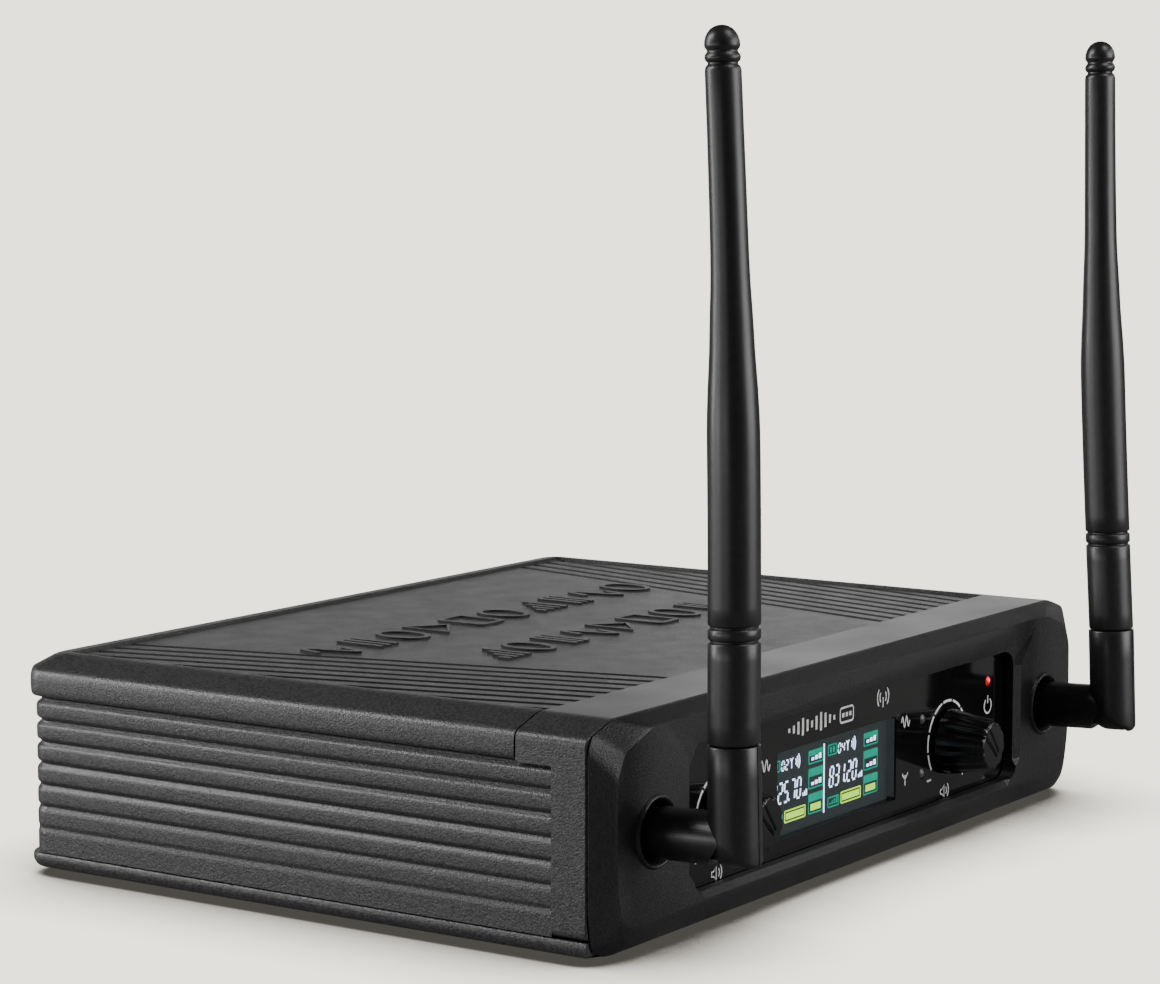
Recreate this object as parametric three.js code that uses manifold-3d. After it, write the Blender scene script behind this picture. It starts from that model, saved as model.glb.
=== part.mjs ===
// Half-rack wireless receiver unit: ribbed plastic case, bevelled front frame, gloss control
// panel and two swivelling, folding antennas.
// Millimetres, +Z up, front towards -Y. Inside the `unit` group, y = 0 is the face of the front
// frame and z = 0 lies FOOT.drop above the surface it stands on. The group is then moved so that
// the origin lies under the middle of the whole object, on that surface.

import * as THREE from 'three';
import { mergeVertices } from 'three/addons/utils/BufferGeometryUtils.js';
import Module from 'manifold-3d';

const wasm = await Module();
wasm.setup();

// ---- driving dimensions ----------------------------------------------------------------

const GAP = 0.3;                 // clearance between touching pieces

const CASE = {
  half: 100.6,                   // middle to side wall
  height: 44,                    // one rack unit
  depth: 145.8,                  // front face to rear edge of the lid
  wall: 2.2,
  radius: 5.5,                   // rear corners, in plan
  topHalf: 92.4,                 // where the sloping top edge begins
  lipTop: 41.3,                  // where that slope meets the side
  lidLip: 36,                    // lower edge of the lid's side lip
  rearInset: 1.4,                // ribbed wall lies this far inside the lid's rear edge
};
const FLOOR = { under: -0.6, rim: 2.9, plate: 2.3, lip: 1.6, lipTop: 5.5 };
const FOOT = { radius: 6.5, drop: 2, seat: 0.5, x: 80, ys: [22, 126] };
const SCREW = { x: 93.3, ys: [24, 126], head: 3, shank: 1.4, top: 12, post: 5.2, postTop: 30 };
const COLLAR = { front: 4, rear: 20 };
const BULKHEAD = { front: 6.1, rear: 8.1, holeHalf: 67, holeLow: 5.8, holeHigh: 36.2 };

const LID = { field: 0.6, fieldHalf: 90.6, rim: 4.9, rearSlope: 1.7, under: 41.4 };
// The grooves splay outwards to the rear and stop short of the field's border.
const GROOVE = {
  count: 9,
  first: 39.8,                   // the innermost one's distance from the middle, in line with y = 0
  pitch: 5.3,
  width: 2.2,
  depth: 0.8,
  splay: 0.24,                   // outward shift per millimetre towards the rear
  rear: 139.6,
  border: 0.7,
};
const RIB = {
  top: 35.4,                     // upper edge of the uppermost rib
  pitch: 4.5,
  depths: [1.1, 1.0, 0.9, 0.75, 0.6, 0.45, 0.2],
  front: 11.8,                   // the ribs stop this far behind the front face
  profile: [[0, 1], [0.8, 0.25], [2.1, 0], [3.6, 0.2]],   // [drop, share of the depth]
};

const BEZEL_BACK = 3.7;
const BEZEL_FACE = [
  [84, 41.6], [93.5, 38.2], [95.9, 33.5], [96.1, 22], [95.7, 12], [94.4, 6.5], [90, 4.4],
];
const BEZEL_REAR = [
  [92.4, 44], [99.2, 41.9], [100.6, 39.4], [100.6, 22], [100.6, 8], [99.6, 1.5], [96, -0.6],
];
const DISH_OUTER = [[79, 42.2], [71, 32], [71, 10.8], [65, 5]];
const DISH_INNER = [[65.5, 35.6], [69.4, 32], [69.4, 10.4], [65.2, 6.2]];
const DISH_DEPTH = 1.2;
const OPENING = { half: 69.4, low: 6.2, high: 35.6, radius: 5 };
const WINDOW = { half: 72, low: 4.8, high: 37, radius: 5, front: 3.5, back: 5.4 };
const SCREEN = { left: -31.8, right: 19.2, low: 7.6, high: 27.8, radius: 1 };

const CONTROL_BOARD = { half: 66, front: 11, back: 12.6, low: 5.8, high: 38 };
const KNOB = { xs: { a: -54.1, b: 41.9 }, z: 18.7, back: 2.8, front: -8, base: 7.3, tip: 5.3 };
const FLUTES = { count: 10, radius: 1.2, reach: 7.1 };
const POINTER = { turned: -43, width: 1.3, low: 4, high: 6.7 };
const POT = { can: 6, canFront: 5.8, bushing: 3.6, bore: 3, front: 3.2, back: 10.7 };
const SPINDLE = { radius: 2.9, front: -5, back: 8 };
const LED = { radius: 1.1, hole: 1.4, flange: 1.6, power: [61.4, 29.3] };
const SIGNAL = { xs: [-42.5, 30.3], zs: [25.3, 13.4] };

const ANTENNA = {
  x: 82.6, z: 21.4,              // socket centre
  reach: 17.4,                   // front face to mast axis
  barrel: 5.08, spigot: 4.7, sleeve: 4.95, rear: 12,
  joint: 18.27,                  // elbow centre to the sleeve's lower end
  ring: 38.9,                    // elbow centre to the double ring
  tipSeam: 143.2, top: 150.2,    // lower edge of the cap, and the very top
};
const ANTENNAS = [
  { side: 'left', x: -ANTENNA.x, tilt: 1.5, bow: -1.1 },
  { side: 'right', x: ANTENNA.x, tilt: 2.3, bow: 0.9 },
];
const ELBOW = { slotHalf: 2.2, tongueHalf: 1.9, tongue: 3.7, pocket: 4, pin: 1, pinHalf: 3.7 };
const SOCKET = { lip: 7.24, proud: 0.7, body: 6.6, bore: 5.6, back: 5.8 };
const RETAINER = { front: 8.9, back: 10.1, groove: 4, outer: 7 };

const BOARD = { half: 85, front: 16, rear: 118, low: 8, high: 9.6 };
const SHIELD = { x: 47, half: 19, front: 36, rear: 84, high: 19.9, sheet: 0.8 };
const REAR = { half: 78, low: 5.8, high: 36.2, front: 140.1, back: 141.9, z: 21 };
const REAR_OPENING = { half: 74, low: 7.5, high: 34.5 };
const XLR = { xs: { a: -27, b: 3 }, outer: 11.6, bore: 9.7, back: 143.2, floor: 126, front: 121 };
const JACK = { x: 32, bushing: 4.7, bore: 3.25, back: 146.2, nut: 7.4, nutBack: 144.5 };
const JACK_BLOCK = { half: 7, front: 112, boreFloor: 116 };
const DC = { x: 58, half: 4.6, tall: 6, bore: 3.1, pin: 0.95, back: 142.9, front: 128 };
const ROCKER = { x: -60, pivot: 141, rest: -9, half: 7.6, tall: 5.1 };
const ROCKER_CASE = { half: 8.6, tall: 5.4, floor: 134, front: 128, flangeBack: 144, wall: 1, flange: 2 };

// ---- finishes: colour, roughness, metalness ----------------------------------------------

const FINISH = {
  caseGrey: [0x3b3c3d, 0.62, 0],
  bezel: [0x1d1e1f, 0.5, 0],
  gloss: [0x08090a, 0.12, 0],
  clear: [0x30363a, 0.1, 0],
  rubber: [0x141414, 0.75, 0],
  antenna: [0x151617, 0.48, 0],
  knob: [0x0b0c0d, 0.28, 0],
  board: [0x1f5b3a, 0.5, 0],
  tin: [0xb9bcc0, 0.35, 0.9],
  steel: [0x9a9da1, 0.35, 0.9],
  brass: [0xb08d4a, 0.35, 0.9],
  redLight: [0xd01020, 0.3, 0],
  greyLight: [0x7f7f78, 0.3, 0],
  blackPlastic: [0x121314, 0.45, 0],
  cable: [0x1a1a1a, 0.6, 0],
  ribbon: [0x8f9296, 0.6, 0],
};

const unit = new THREE.Group();

// ---- from geometry to solid and back -----------------------------------------------------

function toSolid(geometry) {
  const bare = geometry.clone();
  bare.deleteAttribute('normal');
  bare.deleteAttribute('uv');
  const merged = mergeVertices(bare, 1e-4);
  return new wasm.Manifold(new wasm.Mesh({
    numProp: 3,
    vertProperties: new Float32Array(merged.attributes.position.array),
    triVerts: new Uint32Array(merged.index.array),
  }));
}

function toGeometry(solid) {
  const mesh = solid.getMesh();
  const geometry = new THREE.BufferGeometry();
  geometry.setAttribute('position', new THREE.BufferAttribute(mesh.vertProperties, mesh.numProp));
  geometry.setIndex(new THREE.BufferAttribute(mesh.triVerts, 1));
  return geometry;
}

function addPart(name, solid, finish, parent = unit, warp = null) {
  const [color, roughness, metalness] = FINISH[finish];
  const geometry = toGeometry(solid);
  if (warp) warp(geometry);
  const mesh = new THREE.Mesh(geometry, new THREE.MeshStandardMaterial({ color, roughness, metalness }));
  mesh.name = name;
  parent.add(mesh);
}

// ---- basic solids --------------------------------------------------------------------------

function box([x0, x1], [y0, y1], [z0, z1]) {
  const geometry = new THREE.BoxGeometry(x1 - x0, y1 - y0, z1 - z0);
  return toSolid(geometry.translate((x0 + x1) / 2, (y0 + y1) / 2, (z0 + z1) / 2));
}

function rodX(y, z, [x0, x1], radius, sides = 12) {
  const geometry = new THREE.CylinderGeometry(radius, radius, x1 - x0, sides).rotateZ(-Math.PI / 2);
  return toSolid(geometry.translate((x0 + x1) / 2, y, z));
}

// Rod, disc or cone along Y, of radius r0 at y0 and r1 at y1.
function rodY(x, z, [y0, y1], r0, r1 = r0, sides = 20) {
  const geometry = new THREE.CylinderGeometry(r1, r0, y1 - y0, sides);
  return toSolid(geometry.translate(x, (y0 + y1) / 2, z));
}

function rodZ(x, y, [z0, z1], r0, r1 = r0, sides = 16) {
  const geometry = new THREE.CylinderGeometry(r1, r0, z1 - z0, sides).rotateX(Math.PI / 2);
  return toSolid(geometry.translate(x, y, (z0 + z1) / 2));
}

// Solid of revolution about a vertical line, from [radius, z] points.
function turned(x, y, points, sides = 16) {
  const profile = points.map(([radius, z]) => new THREE.Vector2(radius, z));
  return toSolid(new THREE.LatheGeometry(profile, sides).rotateX(Math.PI / 2).translate(x, y, 0));
}

function roundedRect(half0, half1, low, high, radius) {
  const shape = new THREE.Shape();
  shape.moveTo(half0 + radius, low);
  shape.absarc(half1 - radius, low + radius, radius, -Math.PI / 2, 0);
  shape.absarc(half1 - radius, high - radius, radius, 0, Math.PI / 2);
  shape.absarc(half0 + radius, high - radius, radius, Math.PI / 2, Math.PI);
  shape.absarc(half0 + radius, low + radius, radius, Math.PI, 1.5 * Math.PI);
  return shape;
}

// A shape drawn in x and z, made solid from y0 to y1.
function extrudeY(shape, [y0, y1]) {
  const options = { depth: y1 - y0, bevelEnabled: false, curveSegments: 4 };
  const geometry = new THREE.ExtrudeGeometry(shape, options);
  return toSolid(geometry.rotateX(Math.PI / 2).translate(0, y1, 0));
}

function polygon(points) {
  return new THREE.Shape(points.map(([x, y]) => new THREE.Vector2(x, y)));
}

// Closed solid through level outlines that have the same number of points, from low to high.
function stack(levels) {
  const count = levels[0].outline.length;
  const positions = levels.flatMap(({ z, outline }) => outline.flatMap(([x, y]) => [x, y, z]));
  const index = [];
  for (let level = 0; level + 1 < levels.length; level += 1) {
    for (let i = 0; i < count; i += 1) {
      const a = level * count + i;
      const b = level * count + (i + 1) % count;
      index.push(a, b, b + count, a, b + count, a + count);
    }
  }
  const last = (levels.length - 1) * count;
  const caps = [[levels[0].outline, 0, true], [levels.at(-1).outline, last, false]];
  for (const [outline, start, flipped] of caps) {
    const contour = outline.map(([x, y]) => new THREE.Vector2(x, y));
    for (const [a, b, c] of THREE.ShapeUtils.triangulateShape(contour, [])) {
      index.push(start + a, start + (flipped ? c : b), start + (flipped ? b : c));
    }
  }
  const geometry = new THREE.BufferGeometry();
  geometry.setAttribute('position', new THREE.Float32BufferAttribute(positions, 3));
  geometry.setIndex(index);
  return toSolid(geometry);
}

// The same along Y: rings of [x, z] points, listed from the rear one to the front one.
function stackY(rings) {
  const levels = rings.map(({ y, outline }) => ({ z: -y, outline }));
  return toSolid(toGeometry(stack(levels)).rotateX(Math.PI / 2));
}

// Plan of the case: square front corners, rounded rear ones.
function plan(half, front, rear, radius) {
  const outline = [[-half, front], [half, front]];
  for (const [sign, start] of [[1, 0], [-1, Math.PI / 2]]) {
    for (let step = 0; step <= 4; step += 1) {
      const angle = start + (step / 4) * (Math.PI / 2);
      const x = sign * (half - radius) + radius * Math.cos(angle);
      outline.push([x, rear - radius + radius * Math.sin(angle)]);
    }
  }
  return outline;
}

function insetPlan(front, rear, inset) {
  return plan(CASE.half - inset, front, rear - inset, CASE.radius - inset);
}

// ---- case ----------------------------------------------------------------------------------

function ribLevels() {
  const rear = CASE.depth - CASE.rearInset;
  const flush = 0.1;
  const levels = [{ z: CASE.lidLip - GAP, outline: insetPlan(RIB.front, rear, RIB.depths[0]) }];
  RIB.depths.forEach((depth, i) => {
    for (const [drop, share] of RIB.profile) {
      const inset = depth * share + flush;
      levels.push({ z: RIB.top - i * RIB.pitch - drop, outline: insetPlan(RIB.front, rear, inset) });
    }
  });
  levels.push({ z: FLOOR.rim + GAP, outline: insetPlan(RIB.front, rear, flush) });
  return levels.reverse();
}

function collarRing() {
  const low = FLOOR.rim + GAP;
  const { half, topHalf, lipTop, height, wall } = CASE;
  const outside = [
    [-half, low], [half, low], [half, lipTop],
    [topHalf, height], [-topHalf, height], [-half, lipTop],
  ];
  const inHalf = half - wall;
  const inTop = height - wall;
  const inside = [
    [-inHalf, low - 1], [inHalf, low - 1], [inHalf, lipTop - 1.3],
    [topHalf - 0.8, inTop], [0.8 - topHalf, inTop], [-inHalf, lipTop - 1.3],
  ];
  const ring = extrudeY(polygon(outside), [COLLAR.front, COLLAR.rear])
    .subtract(extrudeY(polygon(inside), [COLLAR.front - 1, COLLAR.rear + 1]));
  const behindRibs = box([-half - 1, half + 1], [RIB.front, COLLAR.rear + 1], [0, CASE.lidLip - 2 * GAP]);
  return ring.subtract(behindRibs);
}

function ribbedWalls() {
  const rear = CASE.depth - CASE.rearInset;
  const inside = insetPlan(RIB.front - 1, rear, CASE.wall);
  return stack(ribLevels()).subtract(stack([{ z: 0, outline: inside }, { z: CASE.height, outline: inside }]));
}

// Upright plate inside the collar. It holds the window and the antenna sockets.
function socketPlate() {
  const { front, rear, holeHalf, holeLow, holeHigh } = BULKHEAD;
  const half = CASE.half - CASE.wall - GAP;
  const topHalf = CASE.topHalf - 0.8 - GAP;
  const top = CASE.height - CASE.wall - GAP;
  const shoulder = CASE.lipTop - 1.3 - GAP;
  const low = FLOOR.rim + GAP;
  const outline = [
    [-half, low], [half, low], [half, shoulder],
    [topHalf, top], [-topHalf, top], [-half, shoulder],
  ];
  const through = [front - 1, rear + 1];
  let plate = extrudeY(polygon(outline), [front, rear]);
  plate = plate.subtract(box([-holeHalf, holeHalf], through, [holeLow, holeHigh]));
  for (const { x } of ANTENNAS) {
    plate = plate.subtract(rodY(x, ANTENNA.z, through, SOCKET.bore));
  }
  return plate;
}

function screwPlaces() {
  return [-SCREW.x, SCREW.x].flatMap((x) => SCREW.ys.map((y) => [x, y]));
}

function caseShell() {
  let shell = collarRing().add(ribbedWalls());
  for (const [x, y] of screwPlaces()) {
    shell = shell.add(rodZ(x, y, [FLOOR.rim + GAP, SCREW.postTop], SCREW.post));
    shell = shell.subtract(rodZ(x, y, [0, SCREW.top + 1], SCREW.shank + GAP, SCREW.shank + GAP, 12));
  }
  const { half, low, high } = REAR_OPENING;
  return shell.subtract(box([-half, half], [REAR.back, CASE.depth + 1], [low, high]));
}

// Cutter of the groove with that number on one side of the lid, from the y given to its rear end.
function lidGroove(number, side, front) {
  const middle = (y) => GROOVE.first + number * GROOVE.pitch + GROOVE.splay * y;
  const half = GROOVE.width / 2;
  const { rear } = GROOVE;
  const outline = [
    [side * (middle(front) - half), front], [side * (middle(front) + half), front],
    [side * (middle(rear) + half), rear], [side * (middle(rear) - half), rear],
  ];
  if (side < 0) {
    outline.reverse();
  }
  const low = CASE.height - LID.field - GROOVE.depth;
  return stack([{ z: low, outline }, { z: CASE.height + 1, outline }]);
}

function topCover() {
  const front = COLLAR.rear + GAP;
  const edge = plan(CASE.half, front, CASE.depth, CASE.radius);
  const crown = plan(CASE.topHalf, front, CASE.depth - LID.rearSlope, CASE.radius - 2);
  let lid = stack([
    { z: CASE.lidLip, outline: edge },
    { z: CASE.lipTop, outline: edge },
    { z: CASE.height, outline: crown },
  ]);
  const skirt = plan(CASE.half - 1.8, front - 1, CASE.depth - 1.8, CASE.radius - 1.8);
  const under = plan(CASE.topHalf - 1, front - 1, CASE.depth - LID.rearSlope - 1.8, CASE.radius - 3);
  lid = lid.subtract(stack([
    { z: CASE.lidLip - 1, outline: skirt },
    { z: CASE.lipTop - 1.5, outline: skirt },
    { z: LID.under, outline: under },
  ]));
  const fieldRear = CASE.depth - LID.rim;
  const fieldFloor = CASE.height - LID.field;
  const fieldHigh = [fieldFloor, CASE.height + 1];
  lid = lid.subtract(box([-LID.fieldHalf, LID.fieldHalf], [front - 1, fieldRear], fieldHigh));
  const limit = LID.fieldHalf - GROOVE.border;
  const within = box([-limit, limit], [front - 1, fieldRear], [0, CASE.height + 2]);
  for (let i = 0; i < GROOVE.count; i += 1) {
    for (const side of [-1, 1]) {
      lid = lid.subtract(lidGroove(i, side, front - 1).intersect(within));
    }
  }
  return lid;
}

function footPlaces() {
  return [-FOOT.x, FOOT.x].flatMap((x) => FOOT.ys.map((y) => [x, y]));
}

function bottomCover() {
  const front = COLLAR.front;
  let floor = stack([
    { z: FLOOR.under, outline: plan(CASE.half - 3, front + 2, CASE.depth - 3, CASE.radius - 3) },
    { z: FLOOR.under + 0.8, outline: plan(CASE.half - 1, front + 0.6, CASE.depth - 1, CASE.radius - 1) },
    { z: FLOOR.under + 2, outline: plan(CASE.half, front, CASE.depth, CASE.radius) },
    { z: FLOOR.rim, outline: plan(CASE.half, front, CASE.depth, CASE.radius) },
  ]);
  const insideWalls = (inset, low, high) => {
    const rear = CASE.depth - CASE.rearInset - CASE.wall - inset;
    const outline = plan(CASE.half - CASE.wall - inset, BULKHEAD.rear + inset, rear, CASE.radius - CASE.wall);
    return stack([{ z: low, outline }, { z: high, outline }]);
  };
  floor = floor.add(insideWalls(GAP, FLOOR.rim - 1, FLOOR.lipTop));
  floor = floor.subtract(insideWalls(FLOOR.lip, FLOOR.plate, FLOOR.lipTop + 1));
  for (const [x, y] of screwPlaces()) {
    floor = floor.subtract(rodZ(x, y, [FLOOR.rim, FLOOR.lipTop + 1], SCREW.post + GAP));
    floor = floor.subtract(rodZ(x, y, [-1, FLOOR.lipTop + 1], SCREW.shank + GAP, SCREW.shank + GAP, 12));
    floor = floor.subtract(rodZ(x, y, [-1, 1.5], SCREW.head + GAP, SCREW.head + GAP, 16));
  }
  for (const [x, y] of footPlaces()) {
    floor = floor.subtract(rodZ(x, y, [-1, FOOT.seat + GAP], FOOT.radius + GAP));
  }
  for (const [x, y] of footPlaces()) {
    floor = floor.add(rodZ(x, y, [FLOOR.plate - 0.5, BOARD.low - GAP], 3, 2.5, 12));
  }
  return floor;
}

function addCase() {
  addPart('case_shell', caseShell(), 'caseGrey');
  addPart('top_cover', topCover(), 'caseGrey');
  addPart('bottom_cover', bottomCover(), 'caseGrey');
  addPart('socket_plate', socketPlate(), 'blackPlastic');
  footPlaces().forEach(([x, y], i) => {
    addPart(`foot_${i + 1}`, rodZ(x, y, [-FOOT.drop, FOOT.seat], FOOT.radius - 0.8, FOOT.radius), 'rubber');
  });
  screwPlaces().forEach(([x, y], i) => {
    const head = rodZ(x, y, [0.2, 1.2], SCREW.head, SCREW.head, 16);
    const shank = rodZ(x, y, [1, SCREW.top], SCREW.shank, SCREW.shank, 10);
    addPart(`case_screw_${i + 1}`, head.add(shank), 'steel');
  });
}

// ---- front frame and control panel -----------------------------------------------------------

function mirrored(points) {
  const left = points.map(([x, z]) => [-x, z]);
  return [...left, ...points.slice().reverse()];
}

// Outline of the frame y behind its face: slanted flanks and top, rounded under-edge.
function bezelOutline(y) {
  const t = y / BEZEL_BACK;
  const eased = 1 - (1 - t) ** 2.4;
  const lower = BEZEL_FACE.length - 2;
  const points = BEZEL_FACE.map(([x, z], i) => [
    x + (BEZEL_REAR[i][0] - x) * t,
    z + (BEZEL_REAR[i][1] - z) * (i >= lower ? eased : t),
  ]);
  return mirrored(points);
}

function dishOutline(y) {
  const t = y / DISH_DEPTH;
  return mirrored(DISH_OUTER.map(([x, z], i) => [
    x + (DISH_INNER[i][0] - x) * t,
    z + (DISH_INNER[i][1] - z) * t,
  ]));
}

function frontBezel() {
  const rings = [BEZEL_BACK, 2.2, 1.1, 0.4, 0].map((y) => ({ y, outline: bezelOutline(y) }));
  const dish = [DISH_DEPTH, -0.4].map((y) => ({ y, outline: dishOutline(y) }));
  const opening = roundedRect(-OPENING.half, OPENING.half, OPENING.low, OPENING.high, OPENING.radius);
  const pocketHalf = WINDOW.half + GAP;
  const pocket = roundedRect(-pocketHalf, pocketHalf, WINDOW.low - GAP, WINDOW.high + GAP, WINDOW.radius);
  let frame = stackY(rings).subtract(stackY(dish));
  frame = frame.subtract(extrudeY(opening, [-1, BEZEL_BACK + 1]));
  frame = frame.subtract(extrudeY(pocket, [WINDOW.front - GAP, BEZEL_BACK + 1]));
  for (const { x } of ANTENNAS) {
    frame = frame.subtract(rodY(x, ANTENNA.z, [-1, BEZEL_BACK + 1], SOCKET.body + GAP));
  }
  return frame;
}

function signalPlaces() {
  return SIGNAL.xs.flatMap((x) => SIGNAL.zs.map((z) => [x, z]));
}

function frontWindow() {
  const outline = roundedRect(-WINDOW.half, WINDOW.half, WINDOW.low, WINDOW.high, WINDOW.radius);
  const screen = roundedRect(SCREEN.left, SCREEN.right, SCREEN.low, SCREEN.high, SCREEN.radius);
  const through = [WINDOW.front - 1, WINDOW.back + 1];
  let panel = extrudeY(outline, [WINDOW.front, WINDOW.back]).subtract(extrudeY(screen, through));
  for (const x of Object.values(KNOB.xs)) {
    panel = panel.subtract(rodY(x, KNOB.z, through, POT.bushing + GAP));
  }
  for (const [x, z] of [LED.power, ...signalPlaces()]) {
    panel = panel.subtract(rodY(x, z, through, LED.hole, LED.hole, 12));
  }
  return panel;
}

function displayLens() {
  const shape = roundedRect(
    SCREEN.left + GAP, SCREEN.right - GAP, SCREEN.low + GAP, SCREEN.high - GAP, SCREEN.radius - GAP,
  );
  return extrudeY(shape, [WINDOW.front, WINDOW.back]);
}

function light(x, z) {
  const foot = CONTROL_BOARD.front - GAP;
  const lens = rodY(x, z, [WINDOW.front, foot], LED.radius, LED.radius, 12);
  return lens.add(rodY(x, z, [foot - 1, foot], LED.flange, LED.flange, 12));
}

function controlBoard() {
  const { half, front, back, low, high } = CONTROL_BOARD;
  return box([-half, half], [front, back], [low, high]);
}

function addPanel() {
  addPart('front_bezel', frontBezel(), 'bezel');
  addPart('front_window', frontWindow(), 'gloss');
  addPart('display_lens', displayLens(), 'clear');
  const across = [SCREEN.left - 1.5, SCREEN.right + 1.5];
  addPart('display_module', box(across, [WINDOW.back + GAP, 9.6], [6.4, 29]), 'blackPlastic');
  addPart('control_board', controlBoard(), 'board');
  addPart('power_led', light(...LED.power), 'redLight');
  signalPlaces().forEach(([x, z], i) => addPart(`signal_led_${i + 1}`, light(x, z), 'greyLight'));
}

// ---- volume controls -------------------------------------------------------------------------

function knob(x) {
  const rim = KNOB.front + 0.6;
  let body = rodY(x, KNOB.z, [rim, KNOB.back], KNOB.tip, KNOB.base);
  body = body.add(rodY(x, KNOB.z, [KNOB.front, rim], KNOB.tip - 0.5, KNOB.tip));
  for (let i = 0; i < FLUTES.count; i += 1) {
    const angle = ((i + 0.5) / FLUTES.count) * 2 * Math.PI + THREE.MathUtils.degToRad(POINTER.turned);
    const fx = x + FLUTES.reach * Math.sin(angle);
    const fz = KNOB.z + FLUTES.reach * Math.cos(angle);
    const along = [KNOB.front - 1, KNOB.back - 1.5];
    body = body.subtract(rodY(fx, fz, along, FLUTES.radius + 0.4, FLUTES.radius, 8));
  }
  const ridge = new THREE.BoxGeometry(POINTER.width, KNOB.back - rim - 1, POINTER.high - POINTER.low);
  ridge.translate(0, (KNOB.back + rim) / 2, (POINTER.low + POINTER.high) / 2 - 0.35);
  ridge.rotateY(THREE.MathUtils.degToRad(POINTER.turned)).translate(x, 0, KNOB.z);
  body = body.add(toSolid(ridge));
  return body.subtract(rodY(x, KNOB.z, [SPINDLE.front - 0.5, KNOB.back + 1], SPINDLE.radius + 0.2));
}

function potentiometer(x) {
  const can = rodY(x, KNOB.z, [POT.canFront, POT.back], POT.can);
  const bushing = rodY(x, KNOB.z, [POT.front, POT.canFront + 0.5], POT.bushing);
  return can.add(bushing).subtract(rodY(x, KNOB.z, [0, SPINDLE.back + GAP], POT.bore));
}

function addVolumeControls() {
  for (const [channel, x] of Object.entries(KNOB.xs)) {
    addPart(`volume_pot_${channel}`, potentiometer(x), 'steel');
    const spindle = rodY(x, KNOB.z, [SPINDLE.front, SPINDLE.back], SPINDLE.radius);
    addPart(`volume_spindle_${channel}`, spindle, 'steel');
    addPart(`volume_knob_${channel}`, knob(x), 'knob');
  }
}

// ---- antennas --------------------------------------------------------------------------------
// Drawn in each antenna's own group: the socket centre is the origin, the stub runs along -Y and
// the mast stands along +Z. The group leans back a little, as a loosely held antenna does.

const MAST_Y = -ANTENNA.reach;

function bush(x) {
  const lip = rodY(x, ANTENNA.z, [-SOCKET.proud, -0.02], SOCKET.lip - 0.4, SOCKET.lip);
  const body = rodY(x, ANTENNA.z, [-SOCKET.proud, SOCKET.back], SOCKET.body);
  return lip.add(body).subtract(rodY(x, ANTENNA.z, [-2, SOCKET.back + 1], SOCKET.bore));
}

function barrel() {
  const { tongue, tongueHalf, pin } = ELBOW;
  let stub = rodY(0, 0, [MAST_Y, -1], ANTENNA.barrel).add(rodY(0, 0, [-2, ANTENNA.rear], ANTENNA.spigot));
  stub = stub.subtract(rodZ(0, MAST_Y, [-8, 8], ANTENNA.barrel + GAP, ANTENNA.barrel + GAP, 20));
  const collar = rodY(0, 0, [RETAINER.front - 0.1, RETAINER.back + 0.1], ANTENNA.spigot + 1);
  stub = stub.subtract(collar.subtract(rodY(0, 0, [0, ANTENNA.rear], RETAINER.groove)));
  stub = stub.add(box([-tongueHalf, tongueHalf], [MAST_Y, MAST_Y + 8], [-tongue, tongue]));
  stub = stub.add(rodX(MAST_Y, 0, [-tongueHalf, tongueHalf], tongue, 16));
  stub = stub.subtract(rodX(MAST_Y, 0, [-5, 5], pin + 0.15, 12));
  return stub.subtract(rodY(0, 0, [-8, ANTENNA.rear + 1], 1.4, 1.4, 12));
}

// Elbow whose lower front is a mitre and whose lower back is a ball, so that it can fold forward.
function knuckle() {
  const radius = ANTENNA.barrel;
  const { slotHalf, pocket, pin, pinHalf } = ELBOW;
  const upper = rodZ(0, MAST_Y, [-0.01, ANTENNA.joint - 0.2], radius, radius, 20);
  const spigot = rodZ(0, MAST_Y, [ANTENNA.joint - 1, 32], 3.4);
  const mitre = rodZ(0, MAST_Y, [-radius - 1, 0], radius, radius, 20)
    .intersect(rodY(0, 0, [MAST_Y - radius - 1, MAST_Y + 0.01], radius));
  const ball = toSolid(new THREE.SphereGeometry(radius, 20, 10).translate(0, MAST_Y, 0))
    .intersect(box([-8, 8], [MAST_Y - 0.01, MAST_Y + 8], [-8, 0.01]));
  const slot = box([-slotHalf, slotHalf], [MAST_Y - pocket, MAST_Y + 8], [-8, pocket]);
  const bore = rodX(MAST_Y, 0, [-pinHalf - 0.2, pinHalf + 0.2], pin + 0.15, 12);
  return upper.add(spigot).add(mitre).add(ball).subtract(slot).subtract(bore);
}

function sleeve() {
  const r = ANTENNA.sleeve;
  const { joint, ring, tipSeam } = ANTENNA;
  const bore = [[0, 138.5], [1.5, 138.5], [1.5, 112], [1.5, 86], [1.5, 60], [1.5, 42], [4, 39.5], [4, joint]];
  const grooves = [-1.3, 1.3].flatMap((at) => [
    [r, ring + at - 0.4],
    [r - 0.35, ring + at],
    [r, ring + at + 0.4],
  ]);
  const taper = [[r, 60], [r, 77], [4.52, 86], [3.66, 104], [3.53, 117]];
  const end = [[3.4, tipSeam - 0.5], [3, tipSeam - 0.15], [0, tipSeam - 0.15]];
  return turned(0, MAST_Y, [...bore, [r, joint], ...grooves, ...taper, ...end]);
}

function tipCap() {
  const { tipSeam, top } = ANTENNA;
  return turned(0, MAST_Y, [
    [0, tipSeam + 0.15], [3, tipSeam + 0.15], [3.3, tipSeam + 0.8], [3.3, tipSeam + 1.8],
    [2.98, tipSeam + 2.3], [3.3, tipSeam + 2.8], [3.3, tipSeam + 4.2], [2.6, tipSeam + 6.1], [0, top],
  ]);
}

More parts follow.
